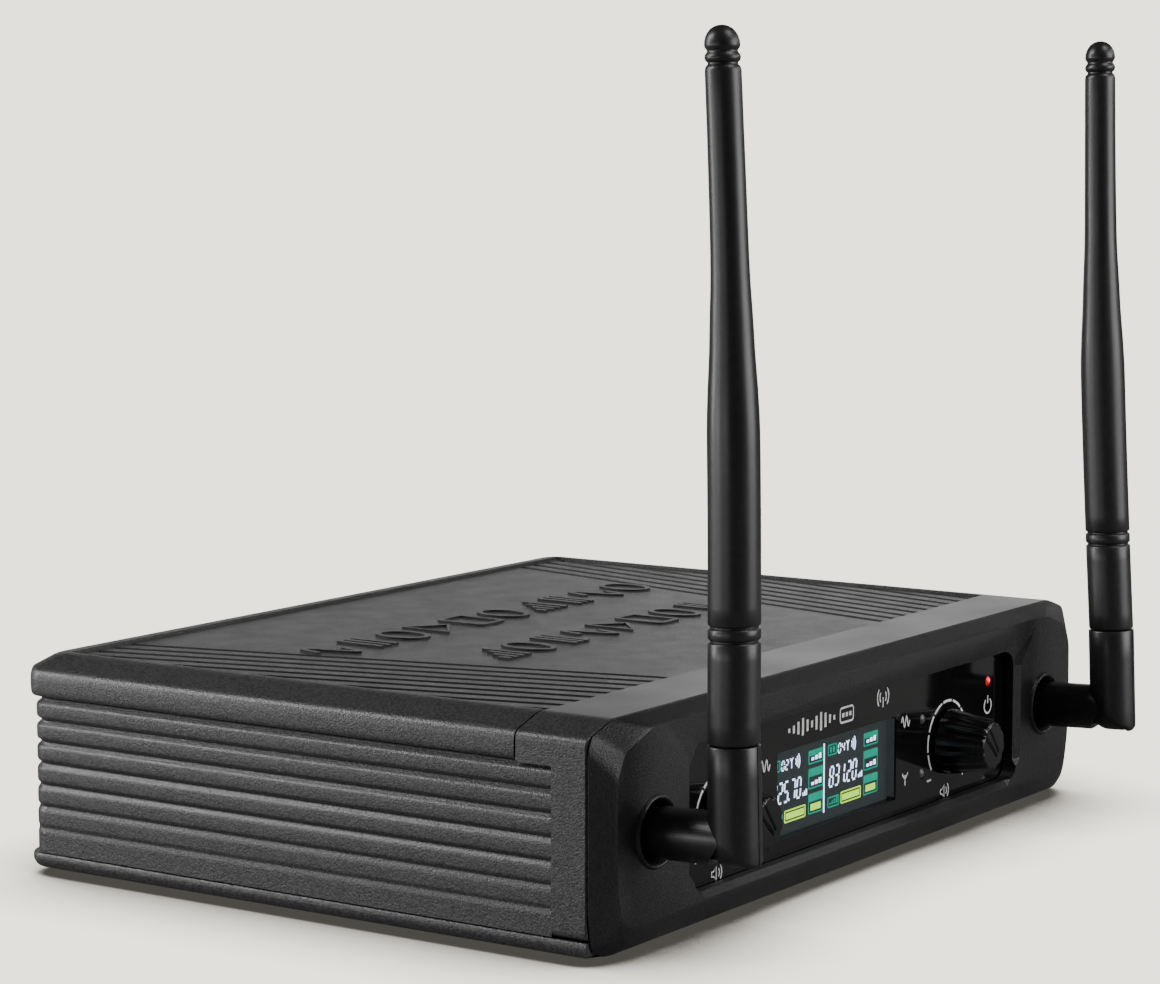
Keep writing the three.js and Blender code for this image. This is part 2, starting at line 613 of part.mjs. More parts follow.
// Slight bow of the flexible mast, nil at its foot and at its tip.
function bend(bow) {
  return (geometry) => {
    const position = geometry.attributes.position;
    for (let i = 0; i < position.count; i += 1) {
      const share = (position.getZ(i) - ANTENNA.joint) / (ANTENNA.top - ANTENNA.joint);
      position.setY(i, position.getY(i) + bow * Math.sin(Math.PI * Math.max(share, 0)));
    }
  };
}

function whip() {
  const rod = [[0, 33], [1.1, 33], [1.1, 60], [1.1, 86], [1.1, 112], [1.1, 136], [0, 136]];
  return turned(0, MAST_Y, rod, 8);
}

function retainer() {
  const ring = rodY(0, 0, [RETAINER.front, RETAINER.back], RETAINER.outer);
  const gap = box([-1, 1], [RETAINER.front - 1, RETAINER.back + 1], [0, RETAINER.outer + 1]);
  return ring.subtract(rodY(0, 0, [0, ANTENNA.rear], RETAINER.groove + 0.15)).subtract(gap);
}

function addAntenna({ side, x, tilt, bow }) {
  const group = new THREE.Group();
  group.position.set(x, 0, ANTENNA.z);
  group.rotation.x = -THREE.MathUtils.degToRad(tilt);
  unit.add(group);
  const name = (piece) => `antenna_${side}_${piece}`;
  const pin = rodX(MAST_Y, 0, [-ELBOW.pinHalf, ELBOW.pinHalf], ELBOW.pin, 12);
  addPart(`antenna_bush_${side}`, bush(x), 'bezel');
  addPart(name('barrel'), barrel(), 'antenna', group);
  addPart(name('retainer'), retainer(), 'steel', group);
  addPart(name('fold_pin'), pin, 'steel', group);
  addPart(name('knuckle'), knuckle(), 'antenna', group);
  addPart(name('sleeve'), sleeve(), 'antenna', group, bend(bow));
  addPart(name('whip'), whip(), 'brass', group, bend(bow));
  addPart(name('tip'), tipCap(), 'antenna', group, bend(bow));
}

// ---- electronics -----------------------------------------------------------------------------

function shield(x) {
  const { half, front, rear, high, sheet } = SHIELD;
  const low = BOARD.high + GAP;
  const can = box([x - half, x + half], [front, rear], [low, high]);
  const across = [x - half + sheet, x + half - sheet];
  const inside = box(across, [front + sheet, rear - sheet], [low - 1, high - sheet]);
  return can.subtract(inside);
}

function coaxLead(sign) {
  const route = [[82.6, 12.9, 20.9], [82.6, 20, 20.4], [80.5, 32, 17.5], [73, 42, 14.6], [66.8, 50, 14.2]];
  const path = new THREE.CatmullRomCurve3(route.map(([x, y, z]) => new THREE.Vector3(sign * x, y, z)));
  const section = new THREE.Shape().absarc(0, 0, 1.1, 0, 2 * Math.PI);
  return toSolid(new THREE.ExtrudeGeometry(section, { steps: 12, curveSegments: 4, extrudePath: path }));
}

function ribbon() {
  const sheet = 0.5;
  const y = CONTROL_BOARD.back + GAP;
  const z = BOARD.high + GAP;
  const outline = [[y, z], [24, z], [24, z + sheet], [y + sheet, z + sheet], [y + sheet, 22], [y, 22]];
  const strip = new THREE.ExtrudeGeometry(polygon(outline), { depth: 20, bevelEnabled: false });
  return toSolid(strip.rotateX(Math.PI / 2).rotateZ(Math.PI / 2).translate(-16, 0, 0));
}

function addElectronics() {
  const { half, front, rear, low, high } = BOARD;
  addPart('main_board', box([-half, half], [front, rear], [low, high]), 'board');
  addPart('board_ribbon', ribbon(), 'ribbon');
  addPart('receiver_shield_a', shield(-SHIELD.x), 'tin');
  addPart('receiver_shield_b', shield(SHIELD.x), 'tin');
  addPart('antenna_coax_left', coaxLead(-1), 'cable');
  addPart('antenna_coax_right', coaxLead(1), 'cable');
}

// ---- rear connections ------------------------------------------------------------------------

function rearPanel() {
  const through = [REAR.front - 1, REAR.back + 1];
  let panel = box([-REAR.half, REAR.half], [REAR.front, REAR.back], [REAR.low, REAR.high]);
  for (const x of Object.values(XLR.xs)) {
    panel = panel.subtract(rodY(x, REAR.z, through, XLR.outer + GAP));
  }
  panel = panel.subtract(rodY(JACK.x, REAR.z, through, JACK.bushing + GAP));
  const dcHalf = DC.half + GAP;
  const dcTall = DC.tall + GAP;
  panel = panel.subtract(box([DC.x - dcHalf, DC.x + dcHalf], through, [REAR.z - dcTall, REAR.z + dcTall]));
  const { across, upright } = rockerOutline(ROCKER_CASE.wall + GAP);
  return panel.subtract(box(across, through, upright));
}

function xlrHousing(x) {
  const cup = rodY(x, REAR.z, [XLR.front, XLR.back], XLR.outer);
  return cup.subtract(rodY(x, REAR.z, [XLR.floor, XLR.back + 1], XLR.bore));
}

function xlrContacts(x) {
  const circle = 4.2;
  let base = rodY(x, REAR.z, [XLR.floor + GAP, XLR.floor + 2.3], XLR.bore - GAP);
  for (const degrees of [30, 150, 270]) {
    const angle = THREE.MathUtils.degToRad(degrees);
    const at = [x + circle * Math.cos(angle), REAR.z + circle * Math.sin(angle)];
    base = base.add(rodY(...at, [XLR.floor + 2, XLR.back - 3.5], 1.2, 1.2, 10));
  }
  return base;
}

function jackOutput() {
  const { half, front, boreFloor } = JACK_BLOCK;
  const across = [JACK.x - half, JACK.x + half];
  const body = box(across, [front, REAR.front - GAP], [REAR.z - half, REAR.z + half]);
  const bushing = rodY(JACK.x, REAR.z, [REAR.front - 1, JACK.back], JACK.bushing);
  return body.add(bushing).subtract(rodY(JACK.x, REAR.z, [boreFloor, JACK.back + 1], JACK.bore));
}

function jackNut() {
  const nut = rodY(JACK.x, REAR.z, [REAR.back + GAP, JACK.nutBack], JACK.nut, JACK.nut, 6);
  return nut.subtract(rodY(JACK.x, REAR.z, [REAR.back, JACK.back], JACK.bushing + GAP));
}

function dcInlet() {
  const { x, half, tall, bore, pin, front, back } = DC;
  const floor = front + 5;
  const block = box([x - half, x + half], [front, back], [REAR.z - tall, REAR.z + tall]);
  const hole = rodY(x, REAR.z, [floor, back + 1], bore);
  return block.subtract(hole).add(rodY(x, REAR.z, [floor - 1, back - 1.5], pin, pin, 12));
}

// Spans of the rocker's cavity in x and z, grown by a margin.
function rockerOutline(margin) {
  const half = ROCKER_CASE.half + margin;
  const tall = ROCKER_CASE.tall + margin;
  return { across: [ROCKER.x - half, ROCKER.x + half], upright: [REAR.z - tall, REAR.z + tall] };
}

function rockerHousing() {
  const { floor, front, flangeBack, wall, flange } = ROCKER_CASE;
  const solid = (margin, along) => {
    const { across, upright } = rockerOutline(margin);
    return box(across, along, upright);
  };
  const rim = solid(flange, [REAR.back + GAP, flangeBack]);
  const body = solid(wall, [front, REAR.back + 1]);
  return rim.add(body).subtract(solid(0, [floor, flangeBack + 1]));
}

function rocker() {
  const { half, tall } = ROCKER;
  const outline = [
    [-half, 4], [-half + 1.5, -1.5], [-2, -4], [2, -4], [half - 1.5, -1.5], [half, 4], [0, 2.4],
  ];
  const paddle = new THREE.ExtrudeGeometry(polygon(outline), { depth: 2 * tall, bevelEnabled: false });
  paddle.translate(0, 0, -tall).rotateZ(THREE.MathUtils.degToRad(ROCKER.rest));
  return toSolid(paddle.translate(ROCKER.x, ROCKER.pivot, REAR.z));
}

function addRear() {
  addPart('rear_panel', rearPanel(), 'blackPlastic');
  for (const [channel, x] of Object.entries(XLR.xs)) {
    addPart(`xlr_output_${channel}`, xlrHousing(x), 'blackPlastic');
    addPart(`xlr_contacts_${channel}`, xlrContacts(x), 'tin');
  }
  addPart('jack_output', jackOutput(), 'blackPlastic');
  addPart('jack_nut', jackNut(), 'steel');
  addPart('dc_inlet', dcInlet(), 'blackPlastic');
  addPart('power_switch_housing', rockerHousing(), 'blackPlastic');
  addPart('power_rocker', rocker(), 'blackPlastic');
}

// ---- assembly --------------------------------------------------------------------------------

addCase();
addPanel();
addVolumeControls();
ANTENNAS.forEach(addAntenna);
addElectronics();
addRear();

// The origin goes under the middle of the whole object.
const bounds = new THREE.Box3().setFromObject(unit, true);
unit.position.set(0, -(bounds.min.y + bounds.max.y) / 2, FOOT.drop);

const receiver = new THREE.Group();
receiver.name = 'wireless_receiver';
receiver.add(unit);

export default receiver;
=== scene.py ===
"""Looks of the half-rack wireless receiver unit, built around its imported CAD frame.

Shapes are drawn in millimetres in the drawing's own frame: x across, y back from the face of the
front frame, z up from FOOT_DROP over the floor. TO_ROW takes them to the row frame in metres.
"""

import math

import bmesh
import bpy
from mathutils import Matrix, Vector


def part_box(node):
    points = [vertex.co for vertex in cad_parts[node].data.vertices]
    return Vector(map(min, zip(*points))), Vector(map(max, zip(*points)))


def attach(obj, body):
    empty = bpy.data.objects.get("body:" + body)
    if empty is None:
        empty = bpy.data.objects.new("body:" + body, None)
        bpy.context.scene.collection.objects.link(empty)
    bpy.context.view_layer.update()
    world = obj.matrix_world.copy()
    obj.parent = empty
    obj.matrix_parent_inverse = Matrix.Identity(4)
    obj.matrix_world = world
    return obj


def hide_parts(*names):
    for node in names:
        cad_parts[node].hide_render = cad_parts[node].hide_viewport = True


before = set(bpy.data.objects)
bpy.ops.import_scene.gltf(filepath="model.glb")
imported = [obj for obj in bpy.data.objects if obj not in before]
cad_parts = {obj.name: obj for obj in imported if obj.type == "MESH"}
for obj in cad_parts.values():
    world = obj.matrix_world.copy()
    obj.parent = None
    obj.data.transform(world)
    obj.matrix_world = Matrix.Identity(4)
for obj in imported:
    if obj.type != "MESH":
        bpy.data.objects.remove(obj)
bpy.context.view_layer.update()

# ---- dimensions, in millimetres --------------------------------------------

GAP = 0.3
FOOT_RADIUS, FOOT_DROP, FOOT_SEAT = 6.5, 2.0, 0.5
HALF, HEIGHT, DEPTH, CORNER = 100.6, 44.0, 145.8, 5.5
TOP_HALF, LIP_TOP, LID_LIP, REAR_INSET, WALL = 92.4, 41.3, 36.0, 1.4, 2.2
COLLAR_FRONT, COLLAR_REAR, RIBS_FRONT = 4.0, 20.0, 11.8
FLOOR_TOP, UNDER = 2.9, -0.6
RIB_TOP, RIB_PITCH = 35.4, 4.5
RIB_DEPTHS = (1.1, 1.0, 0.9, 0.75, 0.6, 0.42, 0.2)
# Drop below the bottom of a groove, and the share of the groove's depth that is left there.
RIB_PROFILE = (
    (0.0, 1.0), (0.15, 0.97), (0.35, 0.8), (0.6, 0.5), (0.85, 0.23), (1.1, 0.07), (1.4, 0.0),
    (2.4, 0.0), (3.4, 0.03), (3.7, 0.12), (3.95, 0.34), (4.15, 0.66), (4.32, 0.92),
)
FIELD_DROP, FIELD_HALF, REAR_RIM, REAR_SLOPE = 0.6, 90.6, 4.9, 1.7
GROOVE_COUNT, GROOVE_FIRST, GROOVE_PITCH, GROOVE_WIDTH, GROOVE_DEPTH = 9, 39.8, 5.3, 2.2, 0.8
GROOVE_SPLAY, GROOVE_REAR, GROOVE_BORDER = 0.24, 139.6, 0.7
# Middle of the row, pitch of its symbols, and the symbols.
EMBLEM_ROWS = (
    (98.0, 12.6, ("wave", "bars", "ring", "play", "square", "ring", "stairs", "bars", "wave", "ring")),
    (66.5, 11.6, ("stairs", "ring", "bars", "wave", "play", "square", "ring", "bars")),
)
EMBLEM_TALL, EMBLEM_SPACE, EMBLEM_LINE, EMBLEM_HIGH, EMBLEM_SUNK = 12.0, 4.6, 1.25, 0.42, 0.1
FEET = [(x, y) for x in (-80, 80) for y in (22, 126)]
SCREWS = [(x, y) for x in (-93.3, 93.3) for y in (24, 126)]
SCREW_HOLE, SCREW_SEAT, SLOT_REACH, SLOT_HALF, SLOT_DEPTH = 3.3, 1.5, 1.6, 0.3, 0.95

BEZEL_BACK = 3.7
BEZEL_FACE = ((84, 41.6), (93.5, 38.2), (95.9, 33.5), (96.1, 22), (95.7, 12), (94.4, 6.5), (90, 4.4))
BEZEL_REAR = ((92.4, 44), (99.2, 41.9), (100.6, 39.4), (100.6, 22), (100.6, 8), (99.6, 1.5), (96, -0.6))
DISH_OUTER = ((79, 42.2), (71, 32), (71, 10.8), (65, 5))
DISH_INNER = ((65.5, 35.6), (69.4, 32), (69.4, 10.4), (65.2, 6.2))
DISH_DEPTH = 1.2
OPENING = (69.4, 6.2, 35.6, 5)
WINDOW = (72, 4.8, 37, 5)
WINDOW_FRONT, WINDOW_BACK = 3.5, 5.4
SCREEN = (-31.8, 18.4, 9.6, 27.8)
SCREEN_Y, LENS_BACK = 5.62, 3.9
GLYPH_FRONT, GLYPH_BACK = SCREEN_Y - 0.05, SCREEN_Y + 0.02
CHANNELS = ((-30.9, "02", "825.70"), (-7.5, "04", "831.20"))   # left edge, channel, frequency
DIVIDER = (-9.1, 11.4, 26.0)
PRINT_FRONT, PRINT_BACK = WINDOW_FRONT - 0.02, WINDOW_FRONT + 0.05
DIAL_RADIUS, DIAL_DASHES, DIAL_START, DIAL_END = 9.0, 9, 218, -38
SIGN_COLUMNS = (-36.6, 22.5)
AERIAL_SIGN = (12.3, 32.2)
BADGE = (-6.2, -0.6, 30.0, 33.1)
EQUALISER_LEFT, EQUALISER_PITCH, EQUALISER_Z = -27.2, 1.85, 31.7
EQUALISER = (0.9, 1.6, 2.6, 3.6, 2.4, 1.4, 2.8, 3.8, 3.0, 1.8, 1.0)
SOCKET_BODY, SOCKET_BORE, SOCKET_LIP, SOCKET_PROUD = 6.6, 5.6, 7.24, 0.7
KNOBS = {"a": -54.1, "b": 41.9}
KNOB_Z, KNOB_BACK, KNOB_FRONT, KNOB_BASE, KNOB_TIP = 18.7, 2.8, -8.0, 7.3, 5.3
KNOB_HOLE, SPINDLE_R = 3.9, 3.1
POINTER_TURN = math.radians(43)
LED_R, LED_HOLE = 1.1, 1.25
POWER_LED = (61.4, 29.3)
SIGNAL_LEDS = [(x, z) for x in (-42.5, 30.3) for z in (25.3, 13.4)]

ANTENNA_X, ANTENNA_Z, MAST_Y = 82.6, 21.4, -17.4
ANTENNAS = {"left": (-1, 1.5, -1.1), "right": (1, 2.3, 0.9)}   # side, lean in degrees, bow
BARREL_R, SLEEVE_R, JOINT, RING, TIP_SEAM, TIP_TOP = 5.08, 4.95, 18.27, 38.9, 143.2, 150.2
FOLD_PIN_R, TONGUE_HALF, EYE_R, SEAM_HALF, SEAM_DEPTH = 1.15, 1.9, 3.7, 0.14, 0.34
RING_DEPTH, WHIP_R, SOCKET_R, TIP_R, TIP_NECK = 0.42, 1.5, 4.0, 3.34, 2.84

REAR_Z, PANEL_FRONT, PANEL_BACK = 21.0, 140.1, 141.9
XLRS = {"a": -27.0, "b": 3.0}
XLR_HOLE, PIN_CIRCLE = 11.9, 4.2
JACK_X, JACK_HOLE, NUT_R, NUT_BACK = 32, 5.0, 7.4, 144.5
DC_HOLE = (53.1, 62.9, REAR_Z - 6.3, REAR_Z + 6.3, 0.4)
SWITCH_HOLE = (-69.9, -50.1, REAR_Z - 6.7, REAR_Z + 6.7, 0.6)

FRONT_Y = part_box("front_bezel")[0].y
LEVEL_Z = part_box("foot_1")[0].z + FOOT_DROP * 0.001
TO_ROW = Matrix.Translation((0, FRONT_Y, LEVEL_Z)) @ Matrix.Scale(0.001, 4)

# ---- shapes: every solid is (points, faces) --------------------------------


def rounded(points, radius, steps=4, closed=True):
    """The polyline with each corner replaced by a curve that starts `radius` before it."""
    points = [Vector(p) for p in points]
    last = len(points) - 1
    curve = []
    for i, corner in enumerate(points):
        if not closed and i in (0, last):
            curve.append(corner)
            continue
        before, after = points[i - 1], points[(i + 1) % len(points)]
        start = corner + (before - corner) * min(radius / (before - corner).length, 0.48)
        end = corner + (after - corner) * min(radius / (after - corner).length, 0.48)
        for step in range(steps + 1):
            t = step / steps
            curve.append(start * (1 - t) ** 2 + corner * 2 * t * (1 - t) + end * t**2)
    return curve


def shrunk(outline, inset):
    """A closed 2-D outline moved inwards by `inset`."""
    if not inset:
        return [Vector(p[:2]) for p in outline]
    count = len(outline)
    area = sum(
        outline[i - 1][0] * outline[i][1] - outline[i][0] * outline[i - 1][1] for i in range(count)
    )
    sign = 1 if area > 0 else -1
    moved = []
    for i in range(count):
        here = Vector(outline[i][:2])
        into = (here - Vector(outline[i - 1][:2])).normalized()
        out = (Vector(outline[(i + 1) % count][:2]) - here).normalized()
        normal = Vector((-into.y - out.y, into.x + out.x)) * sign
        half_cosine = max(normal.length / 2, 0.5)
        moved.append(here + normal.normalized() * inset / half_cosine)
    return moved


def loft(rings, closed=False):
    """Solid through rings of points; `closed` joins the last ring to the first instead of capping."""
    count = len(rings[0])
    points = [tuple(p) for ring in rings for p in ring]
    faces = []
    for r in range(len(rings) if closed else len(rings) - 1):
        start, following = r * count, (r + 1) % len(rings) * count
        for i in range(count):
            j = (i + 1) % count
            faces.append((start + i, start + j, following + j, following + i))
    if not closed:
        faces.append(tuple(range(count - 1, -1, -1)))
        faces.append(tuple(range(len(points) - count, len(points))))
    return points, faces


def along_y(outline, levels):
    """Outline of (x, z) points carried along y; levels are (y, inset)."""
    return loft([[(p[0], y, p[1]) for p in shrunk(outline, inset)] for y, inset in levels])


def along_z(outline, levels):
    """Outline of (x, y) points carried up; levels are (z, inset)."""
    return loft([[(p[0], p[1], z) for p in shrunk(outline, inset)] for z, inset in levels])


def block(x0, x1, y0, y1, z0, z1):
    return along_z([(x0, y0), (x1, y0), (x1, y1), (x0, y1)], [(z0, 0), (z1, 0)])


def rectangle(x0, x1, z0, z1, radius=0.0, steps=4):
    corners = [(x0, z0), (x1, z0), (x1, z1), (x0, z1)]
    return rounded(corners, radius, steps) if radius else corners


def circle(x, z, radius, sides=48):
    turns = [2 * math.pi * i / sides for i in range(sides)]
    return [(x + radius * math.cos(a), z + radius * math.sin(a)) for a in turns]


def turned(profile, at, axis="Y", sides=64, tube=False):
    """Solid of revolution from (radius, distance along the axis) points; a tube's profile is closed."""
    rings = []
    for radius, along in profile:
        ring = []
        for across, up in circle(0, 0, max(radius, 1e-4), sides):
            local = {"X": (along, across, up), "Y": (across, along, up), "Z": (across, up, along)}[axis]
            ring.append(Vector(at) + Vector(local))
        rings.append(ring)
    points, faces = loft(rings, closed=tube)
    return points, faces


def joined(*solids):
    points, faces = [], []
    for more_points, more_faces in solids:
        start = len(points)
        points += more_points
        faces += [tuple(start + i for i in face) for face in more_faces]
    return points, faces


def moved(solid, matrix):
    return [tuple(matrix @ Vector(p)) for p in solid[0]], solid[1]


def plan(half, front, rear, radius, steps=10):
    """Plan of the case: square front corners and rounded rear ones."""
    outline = [(-half, front), (half, front)]
    for sign, start in ((1, 0.0), (-1, math.pi / 2)):
        for step in range(steps + 1):
            angle = start + step / steps * math.pi / 2
            x = sign * (half - radius) + radius * math.cos(angle)
            outline.append((x, rear - radius + radius * math.sin(angle)))
    return outline


def at_height(outline, z):
    return [(p[0], p[1], z) for p in outline]


# ---- from shapes to objects ------------------------------------------------


def raw_object(name, solid):
    mesh = bpy.data.meshes.new(name)
    mesh.from_pydata([tuple(p) for p in solid[0]], [], solid[1])
    work = bmesh.new()
    work.from_mesh(mesh)
    bmesh.ops.remove_doubles(work, verts=work.verts, dist=0.0005)
    bmesh.ops.recalc_face_normals(work, faces=work.faces)
    work.to_mesh(mesh)
    work.free()
    obj = bpy.data.objects.new(name, mesh)
    bpy.context.scene.collection.objects.link(obj)
    return obj


def combine(obj, operation, *solids):
    """obj with the solids, which don't touch each other, cut away, added or kept in common."""
    tool = raw_object("tool", joined(*solids))
    modifier = obj.modifiers.new("combine", "BOOLEAN")
    modifier.operation = operation
    modifier.object = tool
    modifier.solver = "EXACT"
    bpy.context.view_layer.update()
    depsgraph = bpy.context.evaluated_depsgraph_get()
    result = bpy.data.meshes.new_from_object(obj.evaluated_get(depsgraph))
    obj.modifiers.clear()
    obj.data = result
    bpy.data.objects.remove(tool)
    return obj


def cut(obj, *solids):
    return combine(obj, "DIFFERENCE", *solids)


def finished(obj, material, slot, node=None, body="receiver", place=Matrix(), bevel=0.0, angle=35,
             segments=2, flats=False):
    """Takes the object to the row frame, shades it, gives it its finish and body, and hides the CAD node it
    replaces.

    `flats` keeps flat faces flat beside their rounded edges.
    """
    mesh = obj.data
    mesh.transform(TO_ROW @ place)
    finish_of_face = [face.material_index for face in mesh.polygons]
    mesh.materials.clear()
    for one in material if isinstance(material, (list, tuple)) else [material]:
        mesh.materials.append(one)
    mesh.polygons.foreach_set("material_index", finish_of_face)
    mesh.shade_smooth()
    mesh.set_sharp_from_angle(angle=math.radians(angle))
    if bevel:
        edges = obj.modifiers.new("edges", "BEVEL")
        edges.width = bevel * 0.001
        edges.segments = segments
        edges.limit_method = "ANGLE"
        edges.angle_limit = math.radians(angle)
        edges.harden_normals = True
    if flats:
        level = obj.modifiers.new("flats", "WEIGHTED_NORMAL")
        level.keep_sharp = True
    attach(obj, body)
    if node:
        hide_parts(node)


# ---- materials -------------------------------------------------------------


def set_sockets(node, **sockets):
    """Sets the node's sockets by name; an underline stands for a space in a socket's name."""
    for socket, value in sockets.items():
        node.inputs[socket.replace("_", " ")].default_value = value
    return node


class Finish:
    """A Principled material with its colour, roughness and bump driven by procedural textures."""

    def __init__(self, name, **sockets):
        self.material = bpy.data.materials.new(name)
        self.material.use_nodes = True
        self.tree = self.material.node_tree
        self.shader = set_sockets(self.tree.nodes["Principled BSDF"], **sockets)
        self.place = self.node("ShaderNodeTexCoord").outputs["Object"]

    def node(self, kind, **sockets):
        return set_sockets(self.tree.nodes.new(kind), **sockets)

    def link(self, output, socket):
        self.tree.links.new(output, socket)

    def noise(self, scale, detail, stretch=None):
        texture = self.node("ShaderNodeTexNoise", Scale=scale, Detail=detail)
        source = self.place
        if stretch:
            mapping = self.node("ShaderNodeMapping", Scale=stretch)
            self.link(self.place, mapping.inputs["Vector"])
            source = mapping.outputs["Vector"]
        self.link(source, texture.inputs["Vector"])
        return texture.outputs["Fac"]

    def colour(self, dark, light, scale, detail=3.0, low=0.35, high=0.65, socket="Base Color"):
        ramp = self.node("ShaderNodeValToRGB")
        ramp.color_ramp.elements[0].position = low
        ramp.color_ramp.elements[1].position = high
        ramp.color_ramp.elements[0].color = (*dark, 1)
        ramp.color_ramp.elements[1].color = (*light, 1)
        self.link(self.noise(scale, detail), ramp.inputs["Fac"])
        self.link(ramp.outputs["Color"], self.shader.inputs[socket])
        return self

    def roughness(self, low, high, scale):
        spread = self.node("ShaderNodeMapRange", From_Min=0.3, From_Max=0.7, To_Min=low, To_Max=high)
        self.link(self.noise(scale, 4.0), spread.inputs["Value"])
        self.link(spread.outputs["Result"], self.shader.inputs["Roughness"])
        return self

    def bump(self, scale, distance, stretch=None):
        """Relief of `distance` millimetres."""
        made = self.node("ShaderNodeBump", Strength=1.0, Distance=distance * 0.001)
        self.link(self.noise(scale, 2.0, stretch), made.inputs["Height"])
        self.link(made.outputs["Normal"], self.shader.inputs["Normal"])
        return self


def grey(value):
    return (value, value, value)


def moulded(name, dark, light, rough, grain, depth):
    """Moulded plastic: spark-eroded grain, faint tone changes and handling marks in the gloss."""
    finish = Finish(name)
    finish.colour(dark, light, grain * 0.65, 2, 0.4, 0.6)
    finish.roughness(rough - 0.03, rough + 0.04, grain * 0.05)
    finish.bump(grain, depth)
    return finish.material


def metal(name, dark, light, rough, stretch=(1, 1, 1)):
    finish = Finish(name, Metallic=1.0)
    finish.colour(dark, light, 300)
    finish.roughness(rough - 0.05, rough + 0.1, 200)
    finish.bump(1500, 0.004, stretch=stretch)
    return finish.material


def lit(name, dark, light, strength):
    """A glowing display element: its brightness wavers slightly over the liquid crystal."""
    finish = Finish(name, Emission_Strength=strength, Roughness=0.4)
    finish.colour(dark, light, 900, 2, 0.3, 0.6, "Emission Color")
    finish.shader.inputs["Base Color"].default_value = (*dark, 1)
    return finish.material


def glass(name, tint, clear_share):
    """Clear sheet: a glossy skin mixed with a tinted see-through layer."""
    finish = Finish(name, IOR=1.5)
    finish.colour((0.006, 0.006, 0.007), (0.012, 0.012, 0.013), 120)
    finish.roughness(0.03, 0.07, 60)
    through = finish.node("ShaderNodeBsdfTransparent", Color=(*tint, 1))
    mix = finish.node("ShaderNodeMixShader", Fac=clear_share)
    finish.link(finish.shader.outputs["BSDF"], mix.inputs[1])
    finish.link(through.outputs["BSDF"], mix.inputs[2])
    output = finish.tree.nodes["Material Output"]
    finish.link(mix.outputs["Shader"], output.inputs["Surface"])
    return finish.material


CASE = moulded("case_plastic", grey(0.022), grey(0.052), 0.37, 2700, 0.1)
# Smooth finish of the collar's top band; its lighter tone is a painted sheen for the light falling on that
# upward face.
CASE_SMOOTH_PAINTED_SHEEN = moulded("case_plastic_smooth_painted_sheen", grey(0.052), grey(0.058), 0.34, 900, 0.002)
# Painted shade: a dark finish put where the lid's grooves and the emblem's side walls lie in shadow.
PAINTED_SHADE = moulded("case_plastic_painted_shade", grey(0.006), grey(0.009), 0.7, 2600, 0.03)
BEZEL = moulded("bezel_plastic", grey(0.006), grey(0.013), 0.38, 2700, 0.075)
BLACK = moulded("black_plastic", grey(0.008), grey(0.014), 0.42, 1400, 0.02)
ANTENNA = moulded("antenna_plastic", grey(0.009), grey(0.012), 0.36, 900, 0.006)
RUBBER = moulded("foot_rubber", grey(0.012), grey(0.02), 0.75, 1100, 0.05)
KNOB = moulded("knob_plastic", grey(0.004), grey(0.006), 0.2, 600, 0.003)
STEEL = metal("steel", (0.42, 0.43, 0.45), (0.55, 0.56, 0.58), 0.32, (1, 1, 6))
TIN = metal("tinned_steel", (0.5, 0.51, 0.53), (0.66, 0.67, 0.69), 0.28)
BRASS = metal("brass", (0.5, 0.34, 0.13), (0.68, 0.48, 0.2), 0.3)
BOARD = moulded("circuit_board", (0.01, 0.06, 0.025), (0.015, 0.1, 0.04), 0.4, 300, 0.02)
CABLE = moulded("cable_jacket", grey(0.012), grey(0.018), 0.5, 800, 0.01)
RIBBON = moulded("ribbon_cable", grey(0.25), grey(0.33), 0.55, 1200, 0.02)
PRINT = moulded("panel_print", grey(0.62), grey(0.78), 0.5, 1500, 0.002)
LED_GREY = moulded("grey_light", (0.05, 0.052, 0.05), (0.09, 0.092, 0.09), 0.25, 500, 0.004)
LENS = glass("lens_clear", (0.86, 0.88, 0.9), 0.9)
LCD_FACE = lit("display_face", (0.029, 0.035, 0.034), (0.036, 0.042, 0.041), 1.0)
LCD_TEAL = lit("display_teal", (0.0, 0.3, 0.19), (0.004, 0.36, 0.23), 1.35)
LCD_WHITE = lit("display_white", (0.6, 0.68, 1.0), (0.7, 0.78, 1.0), 4.2)
LCD_YELLOW = lit("display_yellow", (0.42, 0.8, 0.03), (0.5, 0.9, 0.05), 2.3)


def gloss_window():
    finish = Finish("window_gloss", Specular_IOR_Level=0.6)
    finish.colour(grey(0.003), grey(0.005), 90)
    finish.roughness(0.05, 0.09, 45)
    finish.bump(25, 0.004)
    return finish.material


def red_lamp():
    """Red lamp with a hot middle: its light fades from the lamp's axis outwards."""
    finish = Finish("red_light", Emission_Strength=1.0, Roughness=0.2)
    finish.colour((0.35, 0.0, 0.004), (0.5, 0.004, 0.012), 700)
    axis = TO_ROW @ Vector((POWER_LED[0], 0, POWER_LED[1] + 0.25))
    shift = finish.node("ShaderNodeMapping", Location=(-axis.x, 0, -axis.z), Scale=(1, 0, 1))
    away = finish.node("ShaderNodeVectorMath")
    away.operation = "LENGTH"
    heat = finish.node("ShaderNodeMapRange", From_Max=0.0012)
    glow = finish.node("ShaderNodeValToRGB")
    glow.color_ramp.elements[0].color = (1.7, 0.32, 0.36, 1)
    glow.color_ramp.elements[1].color = (0.4, 0.0, 0.004, 1)
    glow.color_ramp.elements[1].position = 0.62
    finish.link(finish.place, shift.inputs["Vector"])
    finish.link(shift.outputs["Vector"], away.inputs[0])
    finish.link(away.outputs["Value"], heat.inputs["Value"])
    finish.link(heat.outputs["Result"], glow.inputs["Fac"])
    finish.link(glow.outputs["Color"], finish.shader.inputs["Emission Color"])
    return finish.material


WINDOW_GLOSS = gloss_window()
LED_RED = red_lamp()

# ---- case ------------------------------------------------------------------


